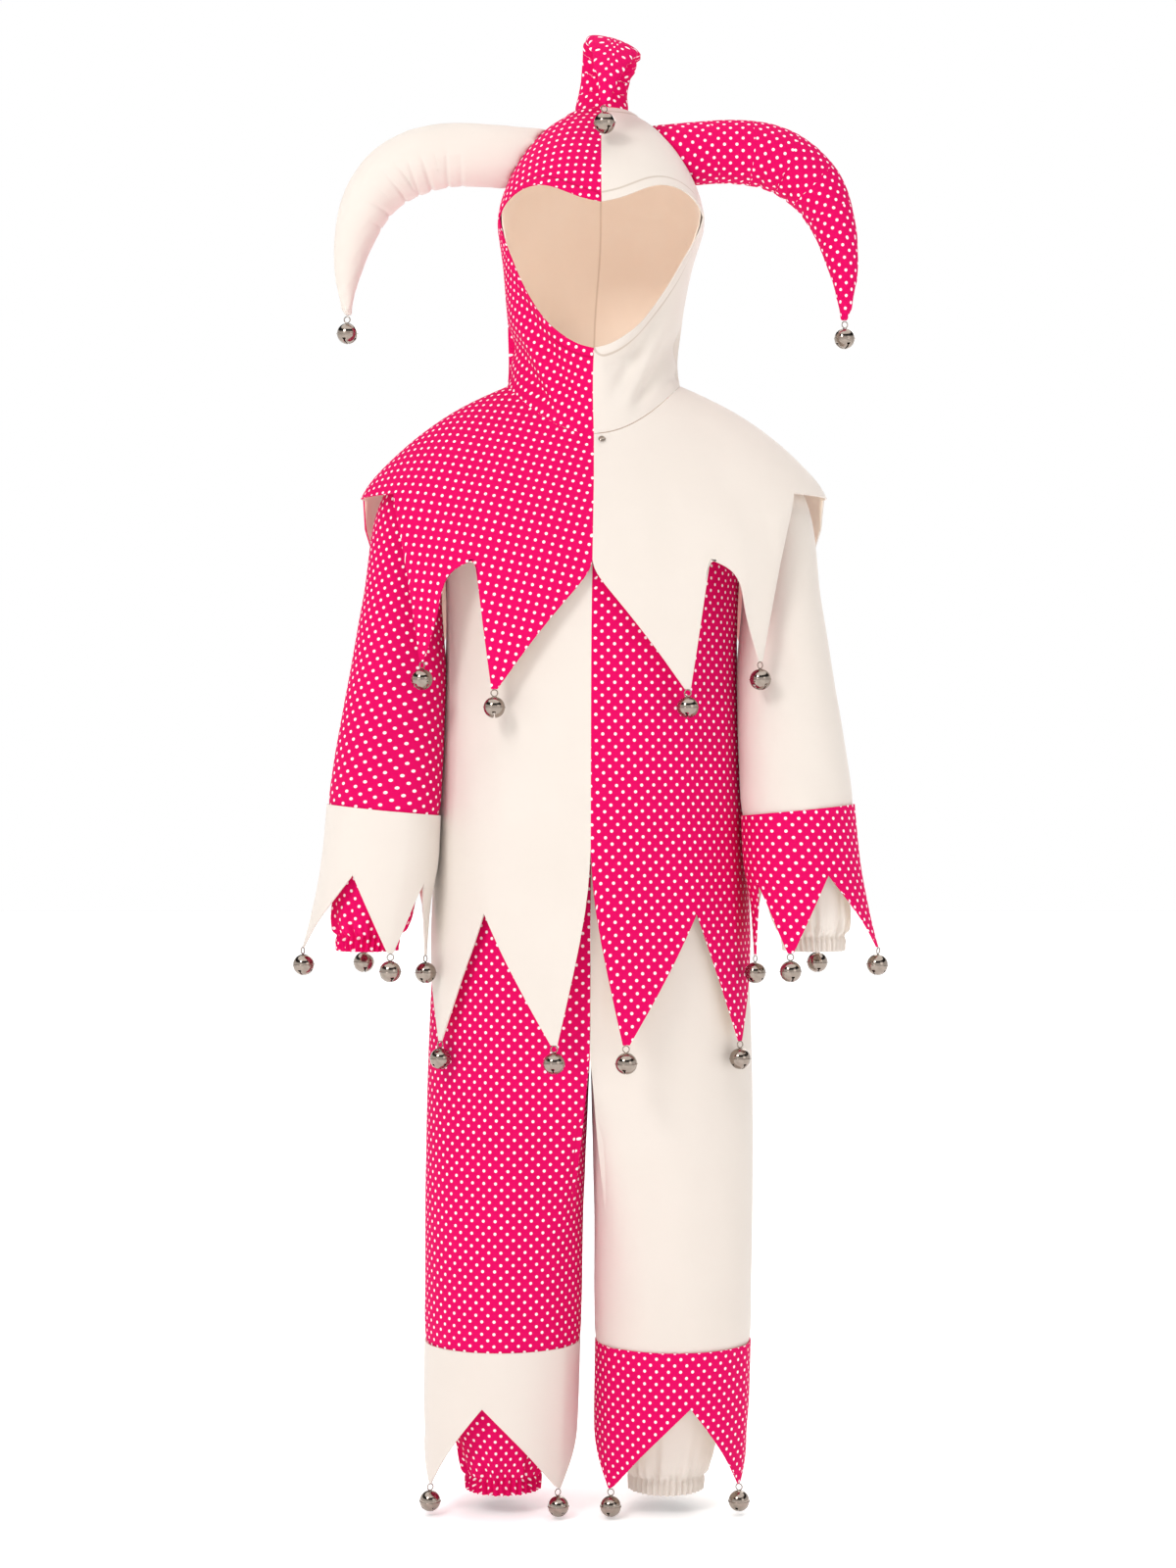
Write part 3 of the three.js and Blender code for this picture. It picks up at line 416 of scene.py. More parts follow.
def nickel(name, bright, dull, roughness):
    """Plated metal with spots of tarnish and a gloss that varies."""
    material = bpy.data.materials.new(name)
    material.use_nodes = True
    tree = material.node_tree
    shader = tree.nodes["Principled BSDF"]
    shader.inputs["Metallic"].default_value = 1
    tree.links.new(mottled(tree, bright, dull, TARNISH_SCALE), shader.inputs["Base Color"])
    worn = tree.nodes.new("ShaderNodeTexNoise")
    worn.inputs["Scale"].default_value = WEAR_SCALE
    span = tree.nodes.new("ShaderNodeMapRange")
    span.inputs["To Min"].default_value = roughness
    span.inputs["To Max"].default_value = roughness + NICKEL_WEAR
    place = tree.nodes.new("ShaderNodeTexCoord")
    tree.links.new(place.outputs["Object"], worn.inputs["Vector"])
    tree.links.new(worn.outputs["Fac"], span.inputs["Value"])
    tree.links.new(span.outputs["Result"], shader.inputs["Roughness"])
    return material


pink_dots = dotted_cloth("pink_dots")
cream_cloth = plain_cloth("cream_cloth", CREAM, CREAM_SHADE, 0.82, 0.25)
lining_cloth = plain_cloth("lining_cloth", LINING, LINING_SHADE, 0.9, 0.15)
# Painted light: the lining glows evenly, though no lamp is there
even_glow(lining_cloth, LINING_PAINTED_GLOW, PAINTED_GLOW_STRENGTH)
bell_nickel = nickel("bell_nickel", NICKEL, NICKEL_DULL, NICKEL_ROUGHNESS)
cloth_of = {"pink_dot_cloth": pink_dots, "cream_cloth": cream_cloth, "lining_cloth": lining_cloth}
slot_of = {row["node"]: row["material_slot"] for row in frame["record"]["subparts"]}


# Small helpers


def eased(share):
    """A share from 0 to 1 with a soft start and end, and no less or more outside."""
    share = min(max(share, 0.0), 1.0)
    return share * share * (3 - 2 * share)


def hill(distance, width):
    """A round hill, 1 at distance 0 and near 0 from twice the width on."""
    return math.exp(-((distance / width) ** 2))


def bake(obj):
    """Applies an object's modifiers to its mesh."""
    graph = bpy.context.evaluated_depsgraph_get()
    graph.update()
    mesh = bpy.data.meshes.new_from_object(obj.evaluated_get(graph))
    obj.modifiers.clear()
    obj.data = mesh


def smoothed(obj, levels):
    """Subdivides a mesh and applies it."""
    modifier = obj.modifiers.new("smooth", "SUBSURF")
    modifier.levels = levels
    modifier.render_levels = levels
    modifier.uv_smooth = "PRESERVE_BOUNDARIES"
    bake(obj)


def move_points(obj, shift):
    """Moves every vertex by shift(point), a vector."""
    for vertex in obj.data.vertices:
        vertex.co += shift(vertex.co)
    obj.data.update()


def point_tree(points):
    """A search tree for the nearest of some points."""
    tree = KDTree(len(points))
    for k, point in enumerate(points):
        tree.insert(point, k)
    tree.balance()
    return tree


def stand_for(obj, node):
    """Puts a piece in its node's place: hangs it on the root body and hides the node."""
    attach(obj, "root")
    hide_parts(node)


# Cloth walls


def mesh_copy(node, name):
    """A welded copy of a CAD node's mesh, with its faces joined back into quads."""
    mesh = nodes[node].data.copy()
    mesh.materials.clear()
    obj = add_object(name, mesh)
    bm = bmesh.new()
    bm.from_mesh(mesh)
    bmesh.ops.remove_doubles(bm, verts=bm.verts, dist=WELD_REACH)
    bmesh.ops.join_triangles(
        bm,
        faces=bm.faces,
        angle_face_threshold=JOIN_ANGLE,
        angle_shape_threshold=JOIN_CORNER,
    )
    bm.to_mesh(mesh)
    bm.free()
    return obj


def face_groups(bm):
    """Groups of faces parted by sharp edges, the largest area first."""
    left = set(bm.faces)
    groups = []
    while left:
        queue = [left.pop()]
        group = [queue[0]]
        while queue:
            for edge in queue.pop().edges:
                if edge.seam:
                    continue
                for face in edge.link_faces:
                    if face in left:
                        left.remove(face)
                        queue.append(face)
                        group.append(face)
        groups.append(group)
    return sorted(groups, key=lambda group: -sum(face.calc_area() for face in group))


def mark_sharp(obj):
    """Marks the sharp edges as seams, and as creases that stay sharp under subdivision."""
    bm = bmesh.new()
    bm.from_mesh(obj.data)
    crease = bm.edges.layers.float.get("crease_edge") or bm.edges.layers.float.new("crease_edge")
    for edge in bm.edges:
        sharp = len(edge.link_faces) == 2 and edge.calc_face_angle(0) > SHARP_EDGE
        edge.seam = sharp
        edge[crease] = 1.0 if sharp else 0.0
    bm.to_mesh(obj.data)
    bm.free()


def unwrap(obj):
    """Unfolds every face group of the wall flat, as its pattern piece is cut."""
    bpy.ops.object.select_all(action="DESELECT")
    obj.select_set(True)
    bpy.context.view_layer.objects.active = obj
    bpy.ops.object.mode_set(mode="EDIT")
    bpy.ops.mesh.select_all(action="SELECT")
    bpy.ops.uv.unwrap(method="ANGLE_BASED", margin=UNWRAP_MARGIN)
    bpy.ops.object.mode_set(mode="OBJECT")


def true_size(group, uv):
    """Turns a flat group upright and scales it to its real size. Gives its width, length and area."""
    corners = [(loop, loop.vert.co) for face in group for loop in face.loops]
    flat = np.array([loop[uv].uv for loop, _ in corners], float)
    heights = np.array([co.z for _, co in corners])
    real = sum(face.calc_area() for face in group)
    drawn = sum(abs(flat_area([loop[uv].uv for loop in face.loops])) for face in group)
    flat -= flat.mean(0)
    lean = math.atan2(flat[:, 0] @ (heights - heights.mean()), flat[:, 1] @ (heights - heights.mean()))
    turn = np.array([[math.cos(lean), -math.sin(lean)], [math.sin(lean), math.cos(lean)]])
    flat = flat @ turn.T * math.sqrt(real / max(drawn, 1e-12))
    for (loop, _), point in zip(corners, flat):
        loop[uv].uv = point
    spread = flat.max(0) - flat.min(0)
    return float(spread[0]), float(spread[1]), real


def turn_grain(group, uv, degrees):
    """Lays the cloth's dots at an angle on a piece, counted against the clock as seen from outside."""
    lean = math.radians(-degrees)
    for face in group:
        for loop in face.loops:
            x, y = loop[uv].uv
            across = x * math.cos(lean) - y * math.sin(lean)
            loop[uv].uv = (across, x * math.sin(lean) + y * math.cos(lean))


def flat_area(points):
    """The area of a flat outline, with its sign from the turn it takes."""
    return sum(a.x * b.y - b.x * a.y for a, b in zip(points, points[1:] + points[:1])) / 2


def tube_turn(vert, centre_at):
    """The angle of a point round a tube, 0 at the front and growing towards the wearer's left."""
    centre = centre_at(vert.co.z)
    return math.atan2(vert.co.x - centre[0], centre[1] - vert.co.y)


def tube_rows(verts, centre_at, radius):
    """For every point its way round the tube from the front, and the whole way round at its height."""
    rows = {}
    for vert in verts:
        rows.setdefault(round(vert.co.z / ROW_HEIGHT), []).append((tube_turn(vert, centre_at), vert))
    ways = {}
    for row in rows.values():
        if len(row) < FULL_ROW:
            ways.update((vert, (turn * radius, 2 * math.pi * radius)) for turn, vert in row)
            continue
        row.sort(key=lambda item: item[0])
        turns = [turn for turn, _ in row]
        steps = [(b.co - a.co).length for (_, a), (_, b) in zip(row, row[1:])]
        walked = np.concatenate([[0], np.cumsum(steps)])
        whole = float(walked[-1]) + (row[0][1].co - row[-1][1].co).length
        front = float(np.interp(0, turns, walked))
        ways.update((vert, (float(way) - front, whole)) for (_, vert), way in zip(row, walked))
    return ways


def round_the_tube(group, uv, centre_at):
    """Flat coordinates of a tube's wall, cut open along its back. Gives its width, length and area."""
    verts = {vert for face in group for vert in face.verts}
    radius = float(np.mean([math.dist(vert.co.xy, centre_at(vert.co.z)) for vert in verts]))
    ways = tube_rows(verts, centre_at, radius)
    for face in group:
        turns = [tube_turn(vert, centre_at) for vert in face.verts]
        parted = max(turns) - min(turns) > math.pi
        for loop in face.loops:
            way, whole = ways[loop.vert]
            if parted and way < 0:
                way += whole
            loop[uv].uv = (way, loop.vert.co.z)
    heights = [vert.co.z for vert in verts]
    return 2 * math.pi * radius, max(heights) - min(heights), sum(face.calc_area() for face in group)


def line_between(top, bottom):
    """The centre (x, y) of a tube at a height, on the line between two points (x, y, z)."""

    def centre(z):
        share = (z - top[2]) / (bottom[2] - top[2])
        return top[0] + share * (bottom[0] - top[0]), top[1] + share * (bottom[1] - top[1])

    return centre


def crease_depth(point, creases):
    """The depth at a point of soft troughs, each a line in the front view with a width and a depth."""
    depth = 0.0
    for side, start, end, width, amount in creases:
        if (point.y > 0) != (side == "back"):
            continue
        run = Vector(end) - Vector(start)
        away = Vector((point.x, point.z)) - Vector(start)
        share = away.dot(run) / run.length_squared
        to_end = min(share + CREASE_END, 1 + CREASE_END - share)
        reach = abs(away.cross(run)) / run.length
        depth += amount * eased(to_end / (2 * CREASE_END)) * hill(reach, width)
    return depth


def fold_cloth(obj, centre_at, creases, ripple, sewn):
    """Presses creases and a slow unevenness into a wall, both faces alike, but not where it is sewn on."""
    seam = point_tree(rim_points(obj, sewn)) if sewn else None

    def shift(point):
        centre = centre_at(point)
        outward = (point - centre).normalized()
        slow = noise.noise(point * BROAD_WAVES) + 0.5 * noise.noise(point * FINE_WAVES)
        free = eased(seam.find(point)[2] / SEAM_HOLD) if seam else 1
        return outward * (ripple * slow - crease_depth(point, creases)) * free

    move_points(obj, shift)


def centre_line(z):
    """Where the body's middle stands, in x, at a height."""
    heights, places = zip(*BODY_SWAY)
    return float(np.interp(z, heights, places))


def close_seam(first, second, groove=0):
    """Brings the edges of two neighbouring walls together along their seam, in a shallow groove if asked."""
    tree = point_tree([vertex.co for vertex in second.data.vertices])
    meetings = []
    for vertex in first.data.vertices:
        place, k, distance = tree.find(vertex.co)
        if distance < SEAM_REACH:
            meetings.append((vertex.index, k, (vertex.co + place) / 2))
    for here, there, middle in meetings:
        middle += (middle - hood_axis(middle)).normalized() * groove
        first.data.vertices[here].co = middle
        second.data.vertices[there].co = middle


def rim_points(obj, chosen):
    """The points along a wall's sharp edges that chosen picks."""
    bm = bmesh.new()
    bm.from_mesh(obj.data)
    rim = set()
    for edge in bm.edges:
        if len(edge.link_faces) == 2 and edge.calc_face_angle(0) > SHARP_EDGE:
            rim.update(vert.co.copy().freeze() for vert in edge.verts)
    bm.free()
    return [point for point in rim if chosen(point)]


def at_face(point):
    """Whether a rim point is on the face opening, and not on the middle seam or low at the hood's side."""
    aside = abs(point.x - HOOD_MIDDLE)
    return point.z > FACE_LOW and point.y < FACE_BACK and MIDDLE_CLEAR < aside < point.z - FACE_NARROW


def at_back_seam(point):
    """Whether a rim point is on the seam up the back of the hood."""
    beside = abs(point.x - HOOD_MIDDLE) < BACK_SEAM_WIDTH
    return point.z > BACK_SEAM_LOW and point.y > FACE_BACK and beside


def at_neck(point):
    """Whether a rim point is on the seam between hood and cape."""
    return NECK_LOW < point.z < NECK_TOP and math.hypot(point.x, point.y) < NECK_RADIUS


def close_to_body(obj, side):
    """Eases the inner side of a sleeve or its cuff towards the tunic, above the cuff's points."""
    inward = -1 if side == "left" else 1
    middle = line_between(*SLEEVE_LINE)

    def shift(point):
        centre = abs(middle(point.z)[0])
        facing = eased((centre - abs(point.x)) / SLEEVE_RADIUS)
        level = eased((EASE_TOP - point.z) / EASE_IN) * eased((point.z - EASE_LOW) / EASE_OUT)
        return Vector((inward * INNER_EASE * facing * level, 0, 0))

    move_points(obj, shift)


def mark_stitches(obj, tree, offset):
    """Stores each point's distance from a rim, which the cloth's material reads for its row of stitches and
    their painted shade.
    """
    depth = obj.data.attributes.new("hem", "FLOAT", "POINT")
    for vertex, value in zip(obj.data.vertices, depth.data):
        value.value = tree.find(vertex.co)[2] + offset


def raise_hem(hood):
    """The turned hem along the face opening, a little proud of the cloth beside it, and its stitching,
    darkened with painted shade.
    """
    tree = point_tree(rim_points(hood, at_face))
    mark_stitches(hood, tree, 0)

    def shift(point):
        distance = tree.find(point)[2]
        outward = (point - hood_axis(point)).normalized()
        return outward * HEM_RISE * eased((HEM_WIDTH - distance) / HEM_STEP)

    move_points(hood, shift)


def join_lining(lining, hood):
    """Brings the lining's rim out to the hood's inside, the cloth near it less and less."""
    points = rim_points(lining, at_face)
    rim = point_tree(points)
    shell = point_tree([vertex.co for vertex in hood.data.vertices])
    ways = [shell.find(point)[0] - point for point in points]

    def shift(point):
        _, nearest, distance = rim.find(point)
        beside = [ways[k] for _, k, _ in rim.find_range(points[nearest], WALL_REACH)]
        return min(beside, key=lambda way: way.length) * eased(1 - distance / LINING_BLEND)

    move_points(lining, shift)


def gather_end(obj, centre_at):
    """The elastic at the lower end: a pleated band, drawn in at its top, with the cloth blousing over it."""
    end = min(vertex.co.z for vertex in obj.data.vertices)

    def shift(point):
        height = point.z - end
        if height > ELASTIC_REACH:
            return Vector()
        centre = Vector((*centre_at(point.z), point.z))
        outward = (point - centre).normalized()
        turn = math.atan2(outward.y, outward.x)
        wander = noise.noise(Vector((outward.x * 2, outward.y * 2, 3 + centre.x * 20)))
        fine = math.cos(PLEATS * turn)
        broad = math.cos(WRINKLES * turn + WRINKLE_WANDER * wander)
        above = max(0.0, height - ELASTIC_BAND)
        drawn = DRAWN_DEPTH * hill(height - ELASTIC_BAND, DRAWN_WIDTH)
        blouse = BLOUSE_RISE * hill(height - BLOUSE_HEIGHT, BLOUSE_WIDTH)
        pleats = PLEAT_DEPTH * fine * math.exp(-above / PLEAT_FADE)
        wrinkles = WRINKLE_DEPTH * broad * eased(above / WRINKLE_START) * math.exp(-above / WRINKLE_FADE)
        return outward * (blouse + pleats + wrinkles - drawn)

    move_points(obj, shift)


def body_axis(point):
    """The point inside the body that a point of its cloth looks away from."""
    return Vector((0, 0, min(point.z, CHEST_TOP)))


def hood_axis(point):
    """The point inside the head that a point of the hood looks away from."""
    low, top = HOOD_AXIS
    return Vector((HOOD_MIDDLE, 0, min(max(point.z, low), top)))


def lay_flat(obj, tube, grain, lined, axis):
    """Lays a wall's faces out at true size and gives the largest one's width, length and area."""
    obj.data.uv_layers.new(name="cloth")
    unwrap(obj)
    bm = bmesh.new()
    bm.from_mesh(obj.data)
    uv = bm.loops.layers.uv["cloth"]
    groups = face_groups(bm)
    sizes = []
    for k, group in enumerate(groups):
        sizes.append(round_the_tube(group, uv, tube) if tube and k < 2 else true_size(group, uv))
        if grain:
            turn_grain(group, uv, grain)
    # Inner faces take the lining cloth, and with it its painted glow
    if lined:
        inside = min(groups[:2], key=lambda group: outward_share(group, axis))
        for face in inside:
            face.material_index = 1
    bm.to_mesh(obj.data)
    bm.free()
    return max(sizes, key=lambda size: size[2])


def cloth_piece(
    node, held, tube=None, lined=False, axis=body_axis, creases=(), ripple=RIPPLE,
    levels=SMOOTH_LEVELS, grain=0, sewn=None,
):
    obj = mesh_copy(node, f"{node}_cloth")
    mark_sharp(obj)
    width, length, area = lay_flat(obj, tube, grain, lined, axis)
    obj.data.materials.append(cloth_of[slot_of[node]])
    obj.data.materials.append(lining_cloth)
    smoothed(obj, levels)
    tube_axis = (lambda point: Vector((*tube(point.z), point.z))) if tube else axis
    fold_cloth(obj, tube_axis, creases, ripple, sewn)
    if held == "gathered":
        gather_end(obj, tube)
    obj.data.shade_smooth()
    soften_edges(obj)
    width = max(width, area / length * CUT_EASE)
    stand_for(obj, node)
    return obj


def outward_share(group, axis):
    """How much of a group's area faces away from the axis, less what faces it."""
    total = 0.0
    for face in group:
        centre = face.calc_center_median()
        total += face.calc_area() * face.normal.dot((centre - axis(centre)).normalized())
    return total


def soften_edges(obj):
    """Marks the wall's own rims sharp, so that the smooth shading stops there."""
    bm = bmesh.new()
    bm.from_mesh(obj.data)
    for edge in bm.edges:
        edge.smooth = len(edge.link_faces) != 2 or edge.calc_face_angle(0) < SHADED_EDGE
    bm.to_mesh(obj.data)
    bm.free()


# Creases of the left half, in the front view: which side, start (x, z), end (x, z), width and depth
CAPE_CREASES = [
    ("front", (0.095, 0.010), (0.150, -0.100), 0.020, 1.8 * MM),
    ("front", (0.060, -0.020), (0.078, -0.170), 0.016, 1.2 * MM),
    ("front", (0.020, -0.060), (0.030, -0.150), 0.018, 0.9 * MM),
    ("back", (0.090, 0.010), (0.140, -0.120), 0.020, 1.8 * MM),
    ("back", (0.040, -0.010), (0.055, -0.160), 0.018, 1.4 * MM),
]
TUNIC_CREASES = [
    ("front", (0.118, -0.190), (0.096, -0.400), 0.014, 2.2 * MM),
    ("front", (0.070, -0.300), (0.062, -0.500), 0.018, 1.6 * MM),
    ("front", (0.128, -0.330), (0.118, -0.480), 0.012, 1.5 * MM),
    ("front", (0.026, -0.200), (0.030, -0.420), 0.016, 1.2 * MM),
    ("back", (0.110, -0.190), (0.090, -0.420), 0.014, 2.2 * MM),
    ("back", (0.050, -0.260), (0.056, -0.480), 0.018, 1.8 * MM),
]
SLEEVE_CREASES = [
    ("front", (0.160, -0.200), (0.200, -0.260), 0.012, 2.4 * MM),
    ("front", (0.165, -0.290), (0.222, -0.250), 0.010, 1.6 * MM),
    ("front", (0.180, -0.310), (0.225, -0.355), 0.012, 1.8 * MM),
    ("back", (0.160, -0.220), (0.205, -0.280), 0.012, 2.2 * MM),
]
TROUSER_CREASES = [
    ("front", (0.020, -0.560), (0.050, -0.700), 0.016, 2.0 * MM),
    ("front", (0.120, -0.620), (0.105, -0.800), 0.018, 1.6 * MM),
    ("front", (0.060, -0.740), (0.070, -0.870), 0.014, 1.4 * MM),
    ("back", (0.030, -0.580), (0.060, -0.720), 0.016, 2.2 * MM),
    ("back", (0.110, -0.700), (0.100, -0.860), 0.018, 1.8 * MM),
]
HOOD_CREASES = [
    ("front", (0.048, 0.074), (0.014, 0.050), 0.007, 4.0 * MM),
    ("front", (0.072, 0.120), (0.022, 0.028), 0.009, 7.5 * MM),
    ("front", (0.084, 0.090), (0.043, 0.015), 0.008, 8.0 * MM),
    ("front", (0.087, 0.056), (0.062, 0.016), 0.007, 5.5 * MM),
    ("back", (0.020, 0.060), (0.070, 0.085), 0.010, 2.0 * MM),
    ("back", (0.030, 0.110), (0.080, 0.120), 0.012, 1.6 * MM),
]

# How the right half's creases differ from the left's: their depths in turn, and the drop of their lower ends
DEPTH_CHANGES = (0.75, 0.95, 1.15)
END_DROP = 0.012


def creases_for(table, mirrored):
    """The creases of one half: as listed, or mirrored and a little different."""
    if not mirrored:
        return table
    turned = []
    for k, (side, start, end, width, amount) in enumerate(table):
        change = DEPTH_CHANGES[k % len(DEPTH_CHANGES)]
        turned.append((side, (-start[0], start[1]), (-end[0], end[1] - END_DROP), width, amount * change))
    return turned


def turned_line(line, mirrored):
    """The centre of a sleeve or its cuff at a height, on the body's own middle."""
    sign = -1 if mirrored else 1
    return line_between(*[(sign * x + centre_line(z), y, z) for x, y, z in line])


def leg_centre(side):
    """The centre of a leg at a height, which leans in a little below the cuff's seam."""
    sign = 1 if side == "left" else -1

    def centre(z):
        inset = LEG_INSET * min(max((INSET_TOP - z) / INSET_LENGTH, 0), 1)
        return sign * (LEG_ASIDE - inset) + centre_line(z), 0.0

    return centre


def cuff_centre(side):
    """The centre of an ankle cuff at a height."""
    sign = 1 if side == "left" else -1
    return lambda z: (sign * LEG_ASIDE + centre_line(z), 0.0)


def dress(side):
    """All the cloth of one half. Gives the walls that meet others at a seam, by name."""
    mirrored = side == "right"
    made = {}
    for face in ("front", "back"):
        made[f"cape_{face}"] = cloth_piece(
            f"cape_{face}_{side}", "draped",
            lined=True, creases=creases_for(CAPE_CREASES, mirrored), grain=CAPE_GRAIN, sewn=at_neck,
        )
        made[f"tunic_{face}"] = cloth_piece(
            f"tunic_{face}_{side}", "hung",
            lined=True, creases=creases_for(TUNIC_CREASES, mirrored),
        )
    sleeve = cloth_piece(
        f"sleeve_{side}", "gathered",
        tube=turned_line(SLEEVE_LINE, mirrored), creases=creases_for(SLEEVE_CREASES, mirrored),
        levels=FINE_LEVELS, grain=SLEEVE_GRAIN,
    )
    cuff = cloth_piece(
        f"cuff_{side}", "hung",
        tube=turned_line(CUFF_LINE, mirrored), lined=True, ripple=SMALL_RIPPLE,
    )
    close_to_body(sleeve, side)
    close_to_body(cuff, side)
    cloth_piece(
        f"trouser_{side}", "gathered",
        tube=leg_centre(side), creases=creases_for(TROUSER_CREASES, mirrored), levels=FINE_LEVELS,
    )
    cloth_piece(
        f"ankle_cuff_{side}", "hung",
        tube=cuff_centre(side), lined=True, ripple=SMALL_RIPPLE,
    )
    made["hood"] = cloth_piece(
        f"hood_{side}", "stretched",
        axis=hood_axis, creases=creases_for(HOOD_CREASES, mirrored), ripple=SMALL_RIPPLE,
        levels=FINE_LEVELS, sewn=at_neck,
    )
    made["lining"] = cloth_piece(
        f"hood_lining_{side}", "stretched",
        axis=hood_axis, creases=creases_for(HOOD_CREASES, mirrored), ripple=SMALL_RIPPLE,
    )
    join_lining(made["lining"], made["hood"])
    raise_hem(made["hood"])
    return made


def dress_body():
    """The cloth of both halves, with their edges brought together at the seams."""
    left, right = dress("left"), dress("right")
    for piece in left:
        close_seam(left[piece], right[piece], LINING_GROOVE if piece == "lining" else 0)
    for made in (left, right):
        # The lining's back seam gets the same darkened line: painted shade along the seam
        mark_stitches(made["lining"], point_tree(rim_points(made["lining"], at_back_seam)), HEM_WIDTH)
        close_seam(made["cape_front"], made["cape_back"])
        close_seam(made["tunic_front"], made["tunic_back"])
    for face in ("front", "back"):
        close_seam(right["hood"], right[f"cape_{face}"])


# Stuffed horns

# Middle lines from root to tip: the side horns' as (x, z), the top horn's as (x, y, z)
SIDE_HORN_LINE = [(0.086, 0.263), (0.114, 0.268), (0.152, 0.268), (0.188, 0.256), (0.213, 0.234),
                  (0.227, 0.207), (0.235, 0.178), (0.239, 0.152), (0.240, 0.130), (0.239, 0.112)]
TOP_HORN_LINE = [(0.008, 0.0, 0.306), (0.008, 0.005, 0.325), (0.012, 0.002, 0.344), (0.016, -0.010, 0.360),
                 (0.018, -0.030, 0.367), (0.019, -0.052, 0.357), (0.016, -0.067, 0.338),
                 (0.012, -0.078, 0.316), (0.010, -0.086, 0.295)]
LEFT_HORN_SHIFT = Vector((0.004, 0, 0.003))

# Wrinkles: the share of the horn's length, the spread as a share of it, and the depth
SIDE_WRINKLES = [
    (0.16, 0.008, 1.5 * MM), (0.21, 0.007, 2.1 * MM), (0.26, 0.006, 1.6 * MM), (0.31, 0.008, 2.6 * MM),
    (0.36, 0.006, 1.9 * MM), (0.41, 0.008, 2.7 * MM), (0.46, 0.006, 2.0 * MM), (0.52, 0.008, 2.4 * MM),
    (0.58, 0.007, 1.7 * MM), (0.65, 0.008, 1.3 * MM),
]
TOP_WRINKLES = [
    (0.12, 0.02, 2.4 * MM), (0.24, 0.02, 3.4 * MM), (0.37, 0.02, 3.0 * MM), (0.50, 0.02, 2.2 * MM),
]


def spaced_line(points):
    """The line through the points in small steps: each step's place, its direction and its distance along."""
    made = []
    walked = 0.0
    for start, end in zip(points, points[1:]):
        run = end - start
        count = max(1, round(run.length / HORN_STEP))
        for k in range(count):
            made.append((start + run * k / count, run.normalized(), walked + run.length * k / count))
        walked += run.length
    made.append((points[-1], (points[-1] - points[-2]).normalized(), walked))
    return made


def along_line(line, places, co):
    """The nearest point of the line, its direction there and how far along the line a point lies."""
    near = int(((places - np.array(co)) ** 2).sum(1).argmin())
    point, run, walked = line[near]
    return point, run, walked + (co - point).dot(run)


def wrap_horn(obj, line, places, front):
    """Flat coordinates along the horn and round it, parted on the side away from front."""
    mesh = obj.data
    layer = mesh.uv_layers.new(name="cloth")
    flat = []
    for vertex in mesh.vertices:
        point, run, along = along_line(line, places, vertex.co)
        facing = (front - run * front.dot(run)).normalized()
        across = run.cross(facing)
        away = vertex.co - point
        turn = math.atan2(away.dot(across), away.dot(facing))
        flat.append((turn, math.hypot(away.dot(across), away.dot(facing)), along))
    turns, radii, alongs = np.array(flat).T
    stations = np.arange(0, line[-1][2], STATION)
    girth = [radii[abs(alongs - station) < STATION].mean() for station in stations]
    even = np.interp(alongs, stations, girth)
    for polygon in mesh.polygons:
        corner = [float(turns[k]) for k in polygon.vertices]
        parted = max(corner) - min(corner) > math.pi
        for loop, k, turn in zip(polygon.loop_indices, polygon.vertices, corner):
            whole = turn + 2 * math.pi if parted and turn < 0 else turn
            layer.data[loop].uv = (whole * even[k], alongs[k])


def puff(obj, free):
    """Fills a horn with stuffing: cloth under light pressure, its movement scaled by free and capped."""
    rest = [vertex.co.copy() for vertex in obj.data.vertices]
    cloth = obj.modifiers.new("stuffing", "CLOTH")
    cloth.settings.quality = 5
    cloth.settings.use_pressure = True
    cloth.settings.uniform_pressure_force = HORN_PRESSURE
    cloth.settings.effector_weights.gravity = 0
    scene = bpy.context.scene
    for number in range(1, HORN_FRAMES + 1):
        scene.frame_set(number)
    bake(obj)
    scene.frame_set(1)
    for vertex, start in zip(obj.data.vertices, rest):
        moved = (vertex.co - start) * free(start)
        vertex.co = start + moved * min(1, HORN_CAP / max(moved.length, 1e-9))


